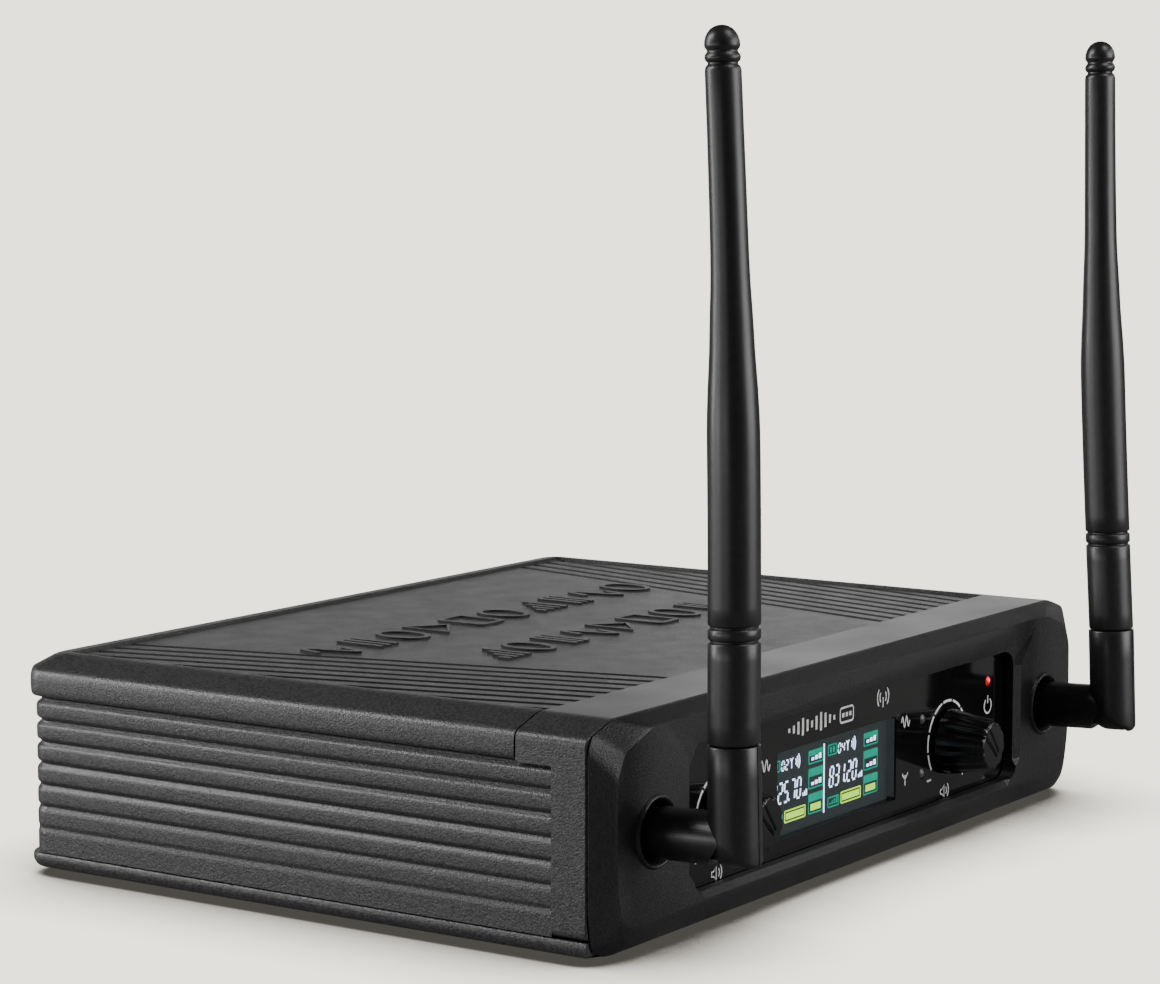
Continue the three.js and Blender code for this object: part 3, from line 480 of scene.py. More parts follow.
def rib_levels():
    """(z, inset) down the ribbed wall, from under the lid to the floor."""
    flush = 0.1
    levels = [(LID_LIP - GAP, RIB_DEPTHS[0])]
    for i, depth in enumerate(RIB_DEPTHS):
        top = RIB_TOP - i * RIB_PITCH
        following = RIB_DEPTHS[i + 1] if i + 1 < len(RIB_DEPTHS) else 0.0
        for drop, share in RIB_PROFILE:
            reach = depth if drop < RIB_PITCH / 2 else following
            levels.append((top - drop, reach * share + flush))
    levels.append((FLOOR_TOP + GAP, flush))
    return levels


def collar_outline():
    low = FLOOR_TOP + GAP
    corners = [(-HALF, low), (HALF, low), (HALF, LIP_TOP), (TOP_HALF, HEIGHT)]
    corners += [(-TOP_HALF, HEIGHT), (-HALF, LIP_TOP)]
    return rounded(corners, 1.5, 7)


def case_shell():
    rear = DEPTH - REAR_INSET
    rings = [
        at_height(plan(HALF - inset, RIBS_FRONT, rear - inset, CORNER - inset), z)
        for z, inset in rib_levels()
    ]
    shell = raw_object("case_shell", loft(rings))
    ends = [(COLLAR_FRONT, 0.25), (COLLAR_FRONT + 0.25, 0), (COLLAR_REAR - 0.15, 0), (COLLAR_REAR, 0.15)]
    collar = raw_object("collar", along_y(collar_outline(), ends))
    behind = block(-HALF - 1, HALF + 1, RIBS_FRONT, COLLAR_REAR + 1, 0, LID_LIP - GAP)
    cut(collar, behind)
    collar_solid = (
        [tuple(v.co) for v in collar.data.vertices],
        [tuple(p.vertices) for p in collar.data.polygons],
    )
    bpy.data.objects.remove(collar)
    combine(shell, "UNION", collar_solid)
    cavity = plan(HALF - WALL, COLLAR_FRONT - 1, rear - WALL, CORNER - WALL)
    cut(shell, along_z(cavity, [(0, 0), (LID_LIP + 1.2, 0)]))
    shoulder = LIP_TOP - 1.3
    roof = [(WALL - HALF, 30), (HALF - WALL, 30), (HALF - WALL, shoulder), (TOP_HALF - 0.8, HEIGHT - WALL)]
    roof += [(0.8 - TOP_HALF, HEIGHT - WALL), (WALL - HALF, shoulder)]
    cut(shell, along_y(roof, [(COLLAR_FRONT - 1, 0), (COLLAR_REAR + 1, 0)]))
    cut(shell, along_y(rectangle(-74, 74, 7.5, 34.5, 2), [(139, 0), (DEPTH + 1, 0)]))
    smooth_sheen_collar_top(shell.data)
    finished(shell, [CASE, CASE_SMOOTH_PAINTED_SHEEN], "case_plastic", "case_shell", angle=40, flats=True)


def smooth_sheen_collar_top(mesh):
    """Gives the collar's top band the smooth finish, unlike the grained walls, and a lighter tone of painted
    sheen.
    """
    for face in mesh.polygons:
        if face.normal.z > 0.98 and face.center.y < COLLAR_REAR and face.center.z > HEIGHT - 0.1:
            face.material_index = 1


def lid_ring(side, back, z, front):
    outline = plan(HALF - side, front, DEPTH - back, CORNER - min(side, 2.0))
    return at_height(outline, z)


def top_cover():
    front = COLLAR_REAR + GAP
    profile = rounded(
        [(0.5, 0.5, LID_LIP), (0, 0, LID_LIP + 0.5), (0, 0, LIP_TOP), (HALF - TOP_HALF, REAR_SLOPE, HEIGHT),
         (HALF - TOP_HALF + 4, REAR_SLOPE + 4, HEIGHT)],
        2.0, 7, closed=False,
    )
    lid = raw_object("top_cover", loft([lid_ring(*p, front) for p in profile]))
    under = [(1.8, 1.8, LID_LIP - 1), (1.8, 1.8, LIP_TOP - 1.5), (9.2, 4.2, 41.4)]
    cut(lid, loft([lid_ring(*p, front - 1) for p in under]))
    field_rear = DEPTH - REAR_RIM
    field_floor = HEIGHT - FIELD_DROP
    field = rectangle(-FIELD_HALF, FIELD_HALF, front - 1, field_rear, 1.5)
    cut(lid, along_z(field, [(field_floor, 0), (HEIGHT + 1, 0)]))
    grooves = [lid_groove(i, sign, front - 1, field_floor) for i in range(GROOVE_COUNT) for sign in (-1, 1)]
    cut(lid, *grooves)
    paint_shade_in_grooves(lid.data, field_floor)
    finished(lid, [CASE, PAINTED_SHADE], "case_plastic", "top_cover", bevel=0.1, angle=32, flats=True)


def lid_groove(number, sign, front, field_floor):
    """Cutter of one groove: it splays outwards to the rear, and ends there or at the field's border."""
    start, half = GROOVE_FIRST + number * GROOVE_PITCH, GROOVE_WIDTH / 2
    limit = FIELD_HALF - GROOVE_BORDER

    def reach(edge):
        return min((limit - edge - start) / GROOVE_SPLAY, GROOVE_REAR)

    outer, inner = reach(half), reach(-half)
    outline = [(start - half + GROOVE_SPLAY * front, front), (start + half + GROOVE_SPLAY * front, front),
               (start + half + GROOVE_SPLAY * outer, outer), (start - half + GROOVE_SPLAY * inner, inner)]
    outline = [(sign * x, y) for x, y in outline]
    return along_z(outline, [(field_floor - GROOVE_DEPTH, 0.25), (field_floor, 0), (HEIGHT + 1, 0)])


def paint_shade_in_grooves(mesh, field_floor):
    """The insides of the grooves get painted shade: a dark finish that stands in for the shadow in them."""
    for face in mesh.polygons:
        sunk = field_floor - GROOVE_DEPTH - 0.1 < face.center.z < field_floor - 0.02
        if sunk and GROOVE_FIRST < abs(face.center.x) < FIELD_HALF and face.center.y < GROOVE_REAR + 0.1:
            face.material_index = 1


def ribbon(points, width, y0, y1, close=False):
    """Flat strip of that width along (x, z) points, made solid from y0 to y1."""
    rings = []
    count = len(points)
    for i, point in enumerate(points):
        here = Vector(point[:2])
        before = Vector(points[i - 1][:2]) if i or close else here
        after = Vector(points[(i + 1) % count][:2]) if i + 1 < count or close else here
        along = (after - before).normalized()
        side = Vector((-along.y, along.x)) * width / 2
        first, second = here + side, here - side
        rings.append([(first.x, y0, first.y), (second.x, y0, second.y),
                      (second.x, y1, second.y), (first.x, y1, first.y)])
    return loft(rings, closed=close)


def arc(x, z, radius, start, end, steps=12):
    turns = [math.radians(start + (end - start) * i / steps) for i in range(steps + 1)]
    return [(x + radius * math.cos(a), z + radius * math.sin(a)) for a in turns]


def symbol(kind, x, y, wide, tall):
    """Strokes of one plain symbol in a cell centred at (x, y), as (points, closed) pairs."""
    left, right, low, high = x - wide / 2, x + wide / 2, y - tall / 2, y + tall / 2
    if kind == "ring":
        return [([(x + wide / 2 * math.cos(a / 16 * math.pi), y + tall / 2 * math.sin(a / 16 * math.pi))
                  for a in range(32)], True)]
    if kind == "square":
        return [(rectangle(left, right, low, high, 1.0, 3), True)]
    if kind == "play":
        return [([(left, low), (right, y), (left, high)], True)]
    if kind == "bars":
        return [([(x + at * wide, low), (x + at * wide, high)], False) for at in (-0.3, 0.0, 0.3)]
    if kind == "stairs":
        return [([(left + i * wide / 3, low), (left + i * wide / 3, low + tall * (i + 1) / 4)], False)
                for i in range(4)]
    return [([(left + wide * i / 16, y + tall / 2 * math.sin(i / 8 * math.pi)) for i in range(17)], False)]


def lid_emblem():
    """Raised outlines on the lid: two rows of plain symbols."""
    strokes = []
    for row_y, pitch, kinds in EMBLEM_ROWS:
        for i, kind in enumerate(kinds):
            x = (i - (len(kinds) - 1) / 2) * pitch
            strokes += symbol(kind, x, row_y, pitch - EMBLEM_SPACE, EMBLEM_TALL)
    flat = [ribbon(points, EMBLEM_LINE, 0, 1, close) for points, close in strokes]
    tall, foot = EMBLEM_HIGH + EMBLEM_SUNK, HEIGHT - FIELD_DROP - EMBLEM_SUNK
    lay = Matrix(((1, 0, 0, 0), (0, 0, 1, 0), (0, tall, 0, foot), (0, 0, 0, 1)))
    emblem = raw_object("lid_emblem", moved(joined(*flat), lay))
    # The strokes' side walls get painted shade, a dark finish for the shadow along them; their tops keep the
    # case's finish.
    for face in emblem.data.polygons:
        face.material_index = 0 if abs(face.normal.z) > 0.5 else 1
    finished(emblem, [CASE, PAINTED_SHADE], "case_plastic", bevel=0.06)


def bottom_cover():
    """Floor pan: its profile is of (inset, z, front setback) points, from the underside up."""
    profile = [(6, UNDER, 0), (2.6, UNDER, 1.6), (0.8, UNDER + 0.5, 0.4), (0, UNDER + 1.7, 0), (0, 2.6, 0),
               (0.35, FLOOR_TOP, 0)]
    rings = []
    for inset, z, setback in rounded(profile, 0.9, 4, closed=False):
        outline = plan(HALF - inset, COLLAR_FRONT + setback, DEPTH - inset, CORNER - inset)
        rings.append(at_height(outline, z))
    cover = raw_object("bottom_cover", loft(rings))
    inside = plan(HALF - 4.5, 10.5, DEPTH - 5.7, CORNER - 2.5)
    cut(cover, loft([at_height(inside, z) for z in (2.3, FLOOR_TOP + 1)]))
    seat = [(-FOOT_DROP, 0), (FOOT_SEAT + GAP, 0)]
    drilled = [along_z(circle(x, y, FOOT_RADIUS + GAP, 40), seat) for x, y in FEET]
    drilled += [along_z(circle(x, y, SCREW_HOLE, 32), [(-FOOT_DROP, 0), (SCREW_SEAT, 0)]) for x, y in SCREWS]
    cut(cover, *drilled)
    finished(cover, CASE, "case_plastic", "bottom_cover", bevel=0.12, angle=38, flats=True)


def feet():
    r, low = FOOT_RADIUS, -FOOT_DROP
    profile = [(0, 0.4), (r - 0.3, 0.4), (r, 0.1), (r - 0.1, -0.6), (r - 0.65, low + 0.25), (r - 0.95, low),
               (r - 2.2, low), (r - 2.5, low + 0.3), (0, low + 0.3)]
    for i, (x, y) in enumerate(FEET):
        name = f"foot_{i + 1}"
        foot = raw_object(name, turned(profile, (x, y, 0), "Z", 48))
        finished(foot, RUBBER, "foot_rubber", name)


def case_screws():
    profile = [(0, 0.3), (2.2, 0.3), (2.7, 0.45), (2.95, 0.8), (2.95, 1.15), (1.4, 1.2), (1.4, 12), (0, 12)]
    for i, (x, y) in enumerate(SCREWS):
        name = f"case_screw_{i + 1}"
        screw = raw_object(name, turned(profile, (x, y, 0), "Z", 40))
        for across, along in ((SLOT_REACH, SLOT_HALF), (SLOT_HALF, SLOT_REACH)):
            cut(screw, block(x - across, x + across, y - along, y + along, -1, SLOT_DEPTH))
        finished(screw, STEEL, "steel", name)


# ---- front frame and control panel -----------------------------------------


def mirrored(points):
    return [(-x, z) for x, z in points] + [(x, z) for x, z in reversed(points)]


def bezel_outline(y):
    """Outline of the frame y behind its face: slanted flanks and top, rounded under-edge."""
    t = min(max(y / BEZEL_BACK, 0.0), 1.0)
    eased = 1 - (1 - t) ** 2.4
    points = []
    for i, (face, back) in enumerate(zip(BEZEL_FACE, BEZEL_REAR)):
        rise = eased if i >= len(BEZEL_FACE) - 2 else t
        points.append((face[0] + (back[0] - face[0]) * t, face[1] + (back[1] - face[1]) * rise))
    return rounded(mirrored(points), 1.3, 3)


def front_bezel():
    depths = [BEZEL_BACK, BEZEL_BACK - 0.15, 3.0, 2.3, 1.7, 1.2, 0.8, 0.45, 0.2, 0.0]
    rings = []
    for y in depths:
        outline = bezel_outline(y)
        inset = 0.15 if y == BEZEL_BACK else 0.1 * max(0.0, 1 - y / 0.3)
        rings.append([(p[0], y, p[1]) for p in shrunk(outline, inset)])
    bezel = raw_object("front_bezel", loft(rings))
    dish = []
    for y in (DISH_DEPTH, -0.4):
        t = y / DISH_DEPTH
        spots = [Vector(a) + (Vector(b) - Vector(a)) * t for b, a in zip(DISH_INNER, DISH_OUTER)]
        dish.append([(x, y, z) for x, z in mirrored(spots)])
    cut(bezel, loft(dish))
    through = [(-1, 0), (BEZEL_BACK + 1, 0)]
    half, low, high, radius = OPENING
    cut(bezel, along_y(rectangle(-half, half, low, high, radius, 8), through))
    half, low, high, radius = WINDOW
    pocket = rectangle(-half - GAP, half + GAP, low - GAP, high + GAP, radius, 6)
    sockets = [circle(sign * ANTENNA_X, ANTENNA_Z, SOCKET_BODY + GAP, 64) for sign in (-1, 1)]
    cut(bezel, along_y(pocket, [(WINDOW_FRONT - GAP, 0), (BEZEL_BACK + 1, 0)]),
        *[along_y(socket, through) for socket in sockets])
    finished(bezel, BEZEL, "bezel_plastic", "front_bezel", bevel=0.22, angle=17, segments=3)


def front_window():
    half, low, high, radius = WINDOW
    outline = rectangle(-half, half, low, high, radius, 8)
    levels = [(WINDOW_FRONT, 0.1), (WINDOW_FRONT + 0.1, 0), (WINDOW_BACK, 0)]
    panel = raw_object("front_window", along_y(outline, levels))
    through = [(WINDOW_FRONT - 1, 0), (WINDOW_BACK + 1, 0)]
    holes = [along_y(rectangle(*SCREEN, 0.6), through)]
    holes += [along_y(circle(x, KNOB_Z, KNOB_HOLE), through) for x in KNOBS.values()]
    holes += [along_y(circle(x, z, LED_HOLE, 32), through) for x, z in [POWER_LED, *SIGNAL_LEDS]]
    cut(panel, *holes)
    finished(panel, WINDOW_GLOSS, "window_gloss", "front_window")


def display_lens():
    left, right, low, high = SCREEN
    outline = rectangle(left + 0.02, right - 0.02, low + 0.02, high - 0.02, 0.6)
    lens = raw_object("display_lens", along_y(outline, [(WINDOW_FRONT, 0), (LENS_BACK, 0)]))
    finished(lens, LENS, "lens_clear", "display_lens")


SEGMENTS = {
    "a": ((0, 2), (1, 2)), "b": ((1, 2), (1, 1)), "c": ((1, 1), (1, 0)), "d": ((0, 0), (1, 0)),
    "e": ((0, 1), (0, 0)), "f": ((0, 2), (0, 1)), "g": ((0, 1), (1, 1)),
}
DIGITS = {"0": "abcdef", "1": "bc", "2": "abged", "3": "abgcd", "4": "fgbc", "5": "afgcd",
          "6": "afgedc", "7": "abc", "8": "abcdefg", "9": "abfgcd"}


def glyph(points, line, close=False):
    """Stroke of the lit picture."""
    return ribbon(points, line, GLYPH_FRONT, GLYPH_BACK, close)


def digit(character, x, z, width, height, line):
    """Seven-segment digit, leaning like those on a meter."""
    strokes = []
    lean = 0.12 * height
    for key in DIGITS[character]:
        ends = []
        for across, up in SEGMENTS[key]:
            ends.append(Vector((x + across * width + lean * up / 2, z + up * height / 2)))
        along = (ends[1] - ends[0]).normalized() * line * 0.62
        strokes.append(glyph([ends[0] + along, ends[1] - along], line))
    return strokes


def number(text, x, z, width, height, line, pitch):
    strokes = []
    for character in text:
        if character == ".":
            strokes.append(glyph([(x - 0.28, z), (x - 0.28, z + line * 1.2)], line * 1.2))
            x += 0.5
            continue
        strokes += digit(character, x, z, width, height, line)
        x += pitch
    return strokes


def channel_display(left, channel, frequency):
    """One channel's half of the display: teal, white and yellow shapes, from its left edge."""
    teal, white, yellow = [], [], []

    def plate(group, x0, x1, z0, z1, radius=0.15):
        outline = rectangle(left + x0, left + x1, z0, z1, radius, 2)
        group.append(along_y(outline, [(GLYPH_FRONT, 0), (GLYPH_BACK, 0)]))

    def frame_of(group, x0, x1, z0, z1):
        group.append(glyph(rectangle(left + x0, left + x1, z0, z1, 0.2, 2), 0.3, close=True))

    frame_of(teal, 0.15, 3.65, 23.15, 25.25)
    plate(teal, 0.9, 1.6, 23.6, 24.8)
    plate(teal, 2.1, 2.9, 23.6, 24.8)
    white += number(channel, left + 4.3, 23.05, 1.0, 1.9, 0.26, 1.6)
    aerial = left + 8.4
    white.append(glyph([(aerial, 23), (aerial, 25)], 0.24))
    white.append(glyph([(aerial - 0.6, 25.1), (aerial, 24.3), (aerial + 0.6, 25.1)], 0.22))
    for radius in (1.0, 1.7, 2.4):
        white.append(glyph(arc(aerial + 0.9, 24.1, radius, -38, 38, 8), 0.3))
    white += number(frequency, left + 0.6, 16.4, 1.5, 4.1, 0.4, 2.32)
    for i in range(3):
        plate(white, 13.0 + 0.65 * i, 13.4 + 0.65 * i, 16.4, 17.1 + 0.3 * i, 0.05)
    frame_of(teal, 0.1, 4.7, 12.1, 14.1)
    for i in range(4):
        plate(teal, 0.75 + i * 0.95, 1.35 + i * 0.95, 12.6, 13.0 + 0.3 * i, 0.05)
    frame_of(yellow, 5.7, 14.0, 12.1, 14.4)
    plate(yellow, 6.2, 13.5, 12.6, 13.9, 0.1)
    for low, high, inner in ((22.5, 25.4, white), (17.3, 21.6, white), (12.0, 16.3, yellow)):
        head = high - (high - low) * 0.4
        frame_of(teal, 15.45, 21.35, low + 0.15, high - 0.15)
        plate(teal, 15.5, 21.3, head, high - 0.1)
        if inner is yellow:
            plate(yellow, 16.3, 20.5, low + 0.7, head - 0.5, 0.1)
        else:
            for i in range(3):
                plate(white, 16.6 + i * 1.5, 17.6 + i * 1.5, low + 0.75, low + 1.35 + 0.25 * i, 0.05)
    return teal, white, yellow


def display_picture():
    """The lit picture on the display module: two channel halves with a white line between them."""
    left, right, low, high = SCREEN
    outline = rectangle(left + 0.05, right - 0.05, low + 0.05, high - 0.05, 0.5)
    plate = along_y(outline, [(SCREEN_Y, 0), (SCREEN_Y + 0.05, 0)])
    trim = block(right - 0.25, right - 0.05, LENS_BACK + 0.05, SCREEN_Y - 0.02, low + 0.6, high - 0.6)
    face = raw_object("display_face", joined(plate, trim))
    finished(face, LCD_FACE, "lens_clear")
    groups = {"display_teal": [], "display_white": [], "display_yellow": []}
    for channel in CHANNELS:
        for name, shapes in zip(groups, channel_display(*channel)):
            groups[name] += shapes
    x, low, high = DIVIDER
    groups["display_white"].append(glyph([(x, low), (x, high)], 0.42))
    for (name, shapes), material in zip(groups.items(), (LCD_TEAL, LCD_WHITE, LCD_YELLOW)):
        finished(raw_object(name, joined(*shapes)), material, "lens_clear")


def lamps():
    for i, (x, z) in enumerate([POWER_LED, *SIGNAL_LEDS]):
        name = f"signal_led_{i}" if i else "power_led"
        profile = [(0, 3.15), (0.5, 3.2), (0.85, 3.35), (LED_R, 3.6), (LED_R, 10.6), (1.6, 10.6), (1.6, 10.7),
                   (0, 10.7)]
        lamp = raw_object(name, turned(profile, (x, 0, z), "Y", 32))
        finished(lamp, *((LED_GREY, "grey_light") if i else (LED_RED, "red_light")), name)


def printed(points, line, close=False):
    """Stroke of the white print on the window."""
    return ribbon(points, line, PRINT_FRONT, PRINT_BACK, close)


def dial_marks(x):
    """Dashed arc over a knob, a minus and a plus at its ends, and a loudspeaker under it."""
    step = (DIAL_END - DIAL_START) / DIAL_DASHES
    strokes = []
    for i in range(DIAL_DASHES):
        begin = DIAL_START + i * step
        strokes.append(printed(arc(x, KNOB_Z, DIAL_RADIUS, begin - 2, begin + step + 2, 6), 0.55))
    strokes.append(printed([(x - 9.2, 11.2), (x - 7.2, 11.2)], 0.42))
    strokes.append(printed([(x + 6.2, 11.2), (x + 8.8, 11.2)], 0.42))
    strokes.append(printed([(x + 7.5, 9.9), (x + 7.5, 12.5)], 0.42))
    box, mouth = x - 2.2, x - 1.2
    speaker = [(box - 0.7, 7.2), (box, 7.2), (mouth, 6.3), (mouth, 9.1), (box, 8.2), (box - 0.7, 8.2)]
    strokes.append(printed(speaker, 0.32, close=True))
    strokes += [printed(arc(mouth, 7.7, radius, -42, 42, 6), 0.34) for radius in (1.2, 2.1)]
    return strokes


def signal_signs(x):
    """A wave by the upper signal lamp and an aerial by the lower one."""
    wave = [(x - 1.8 + 0.225 * i, 26.0 + 1.2 * math.sin(i * 0.79)) for i in range(17)]
    mast = [(x, 12.0), (x, 14.3)]
    arms = [(x - 1.3, 14.7), (x, 13.2), (x + 1.3, 14.7)]
    return [printed(wave, 0.36), printed(mast, 0.4), printed(arms, 0.38)]


def power_sign(x, z):
    return [printed(arc(x, z, 1.7, 125, 415, 16), 0.42), printed([(x, z + 0.5), (x, z + 2.3)], 0.42)]


def aerial_sign(x, z):
    strokes = [printed([(x, z - 1.5), (x, z + 0.6)], 0.42)]
    for radius in (1.4, 2.5):
        for middle in (0, 180):
            strokes.append(printed(arc(x, z + 0.7, radius, middle - 45, middle + 45, 6), 0.4))
    return strokes


def badge():
    """Upright bars like those of an equaliser, and an outline with three dots."""
    strokes = []
    for i, tall in enumerate(EQUALISER):
        x = EQUALISER_LEFT + EQUALISER_PITCH * i
        strokes.append(printed([(x, EQUALISER_Z - tall / 2), (x, EQUALISER_Z + tall / 2)], 0.8))
    strokes.append(printed(rectangle(*BADGE, 0.8), 0.42, close=True))
    middle = (BADGE[0] + BADGE[1]) / 2
    for shift in (-1.5, 0, 1.5):
        strokes.append(printed([(middle + shift, 31.1), (middle + shift, 32.0)], 0.9))
    return strokes


def panel_print():
    strokes = [mark for x in KNOBS.values() for mark in dial_marks(x)]
    strokes += [mark for x in SIGN_COLUMNS for mark in signal_signs(x)]
    strokes += power_sign(POWER_LED[0], POWER_LED[1] - 5.6) + aerial_sign(*AERIAL_SIGN) + badge()
    marks = raw_object("panel_print", joined(*strokes))
    finished(marks, PRINT, "window_gloss")


# ---- volume knobs ----------------------------------------------------------


def knob_radius(angle, share):
    """Radius of the flank at an angle from the pointer; share is 0 at the foot and 1 at the tip."""
    base = KNOB_BASE + (KNOB_TIP - KNOB_BASE) * share
    turn = (math.degrees(angle) + 180) % 360 - 180
    flute = max(0.0, math.cos(math.radians(turn * 10 + 180))) ** 0.8 if abs(turn) > 15 else 0.0
    ridge = math.exp(-((turn / 5.2) ** 4)) * 0.42
    sides = math.exp(-(((abs(turn) - 11) / 3.2) ** 2)) * 0.3
    reach = min(1.0, share * 5 + 0.1)
    return base + (ridge - sides - 0.36 * flute) * reach


def knob_end(u, v):
    """Height of the end face: a raised strip from the pointer's rim, between two grooves."""
    rim = KNOB_TIP
    if u < -2.6:
        return 0.0
    half = 0.55 + 0.75 * (u + 2.6) / (rim + 2.6)
    groove = math.exp(-(((abs(v) - half) / 0.26) ** 2)) * 0.45
    return -groove + (0.12 if abs(v) < half else 0.0)


def volume_knob(channel, x):
    sides = 216
    angles = [2 * math.pi * i / sides for i in range(sides)]
    length = KNOB_BACK - KNOB_FRONT

    def ring(share, shrink, sunk=0.0, relief=False):
        points = []
        for angle in angles:
            r = knob_radius(angle, share) * shrink
            u, v = r * math.cos(angle), r * math.sin(angle)
            y = KNOB_BACK - share * length + sunk
            if relief:
                y -= knob_end(u, v) * min(1.0, (1 - shrink) * 14)
            turn = angle + POINTER_TURN + math.pi / 2
            points.append((x + r * math.cos(turn), y, KNOB_Z + r * math.sin(turn)))
        return points

    rings = [ring(0, 0.5), ring(0, 0.965), ring(0.012, 1.0)]
    rings += [ring(0.03 + 0.91 * i / 14, 1.0) for i in range(15)]
    rings += [ring(0.968, 0.985), ring(0.99, 0.955), ring(1.0, 0.92)]
    rings += [ring(1.0, 0.92 * (1 - i / 26), 0, True) for i in range(1, 26)]
    name = f"volume_knob_{channel}"
    knob = raw_object(name, loft(rings))
    cut(knob, along_y(circle(x, KNOB_Z, SPINDLE_R), [(KNOB_FRONT + 2.5, 0), (KNOB_BACK + 1, 0)]))
    finished(knob, KNOB, "knob_plastic", name, f"volume_{channel}", angle=48)


# ---- antennas --------------------------------------------------------------


def antenna_place(side):
    sign, lean, _ = ANTENNAS[side]
    socket = Matrix.Translation((sign * ANTENNA_X, 0, ANTENNA_Z))
    return socket @ Matrix.Rotation(math.radians(-lean), 4, "X")


def antenna_piece(side, part, solid):
    """A named piece of that antenna, still at the origin."""
    return raw_object(f"antenna_{side}_{part}", solid)


def antenna_finished(piece, side, part, moving="mast", **edges):
    """Puts the piece in its place on the antenna's stub or mast."""
    name, body = f"antenna_{side}_{part}", f"antenna_{side}_{moving}"
    finished(piece, ANTENNA, "antenna_plastic", name, body, antenna_place(side), **edges)


def across_elbow(radius, half, sides):
    """Cylinder of that radius along the fold axis."""
    return turned([(0, -half), (radius, -half), (radius, half), (0, half)], (0, MAST_Y, 0), "X", sides)


def bush(side):
    x = ANTENNAS[side][0] * ANTENNA_X
    lip, proud = SOCKET_LIP, SOCKET_PROUD
    profile = [(SOCKET_BORE, 5.8), (SOCKET_BORE, 1.6), (SOCKET_BORE + 0.25, 0.5), (lip - 1.0, -0.3),
               (lip - 0.8, -proud + 0.1), (lip - 0.65, -proud), (lip - 0.45, -proud),
               (lip - 0.25, -proud + 0.12), (lip, -0.03), (SOCKET_BODY, -0.03), (SOCKET_BODY, 5.8)]
    name = f"antenna_bush_{side}"
    piece = raw_object(name, turned(profile, (x, 0, ANTENNA_Z), "Y", 72, tube=True))
    finished(piece, BEZEL, "bezel_plastic", name)


def barrel(side):
    r, bore, neck, room = BARREL_R, 1.4, 4.7, BARREL_R + 0.08
    profile = [(bore, MAST_Y), (r, MAST_Y), (r, -1.6), (r - 0.15, -1.1), (neck, -1.0), (neck, 8.9), (4, 8.9),
               (4, 10.1), (neck, 10.1), (neck, 12), (bore, 12)]
    piece = antenna_piece(side, "barrel", turned(profile, (0, 0, 0), "Y", 64, tube=True))
    cut(piece, turned([(0, -8), (room, -8), (room, 8), (0, 8)], (0, MAST_Y, 0), "Z", 96))
    combine(piece, "UNION", block(-TONGUE_HALF, TONGUE_HALF, MAST_Y, MAST_Y + 8, -3.6, 3.6))
    combine(piece, "UNION", across_elbow(EYE_R, TONGUE_HALF - 0.02, 48))
    cut(piece, across_elbow(FOLD_PIN_R, 5, 24))
    antenna_finished(piece, side, "barrel", "stub")


def knuckle(side):
    """Elbow in one skin: a mitred lower front with a soft edge, and a ball-shaped lower back."""
    r, soft, sides = BARREL_R, 1.2, 96
    turns = [2 * math.pi * i / sides for i in range(sides)]
    shank = [(3.4, 32), (3.4, JOINT - 0.2), (r - 0.35, JOINT - 0.2), (r - 0.1, JOINT - 0.3),
             (r, JOINT - 0.5), (r, 12), (r, 6), (r, 2), (r, 0.01)]
    rings = [[(x, MAST_Y + y, z) for x, y in circle(0, 0, radius, sides)] for radius, z in shank]

    def under(radius, angle, lift=0.0):
        x, y = radius * math.cos(angle), radius * math.sin(angle)
        drop = math.sqrt(max(r * r - x * x - (y * y if y > 0 else 0.0), 0.0))
        return (x, MAST_Y + y, lift - drop)

    edge = [soft * max(0.0, -math.sin(angle)) for angle in turns]
    for step in range(7):
        around = step / 6 * math.pi / 2
        rings.append([under(r - e * (1 - math.cos(around)), angle, e * (1 - math.sin(around)))
                      for angle, e in zip(turns, edge)])
    for step in range(1, 16):
        share = math.cos(step / 16 * math.pi / 2)
        rings.append([under((r - e) * share, angle) for angle, e in zip(turns, edge)])
    piece = antenna_piece(side, "knuckle", loft(rings))
    fork = TONGUE_HALF + GAP
    cut(piece, block(-fork, fork, MAST_Y - 4, MAST_Y + 8, -8, 4))
    cut(piece, across_elbow(FOLD_PIN_R, 3.9, 24))
    cut(piece, block(-SEAM_HALF, SEAM_HALF, MAST_Y - r - 1, MAST_Y - r + SEAM_DEPTH, -8, JOINT - 0.1))
    antenna_finished(piece, side, "knuckle", angle=40)


def bowed(obj, bow):
    """Slight bow of the flexible mast, nil at its foot and at its tip."""
    for vertex in obj.data.vertices:
        share = (vertex.co.z - JOINT) / (TIP_TOP - JOINT)
        vertex.co.y += bow * math.sin(math.pi * max(share, 0.0))
    return obj


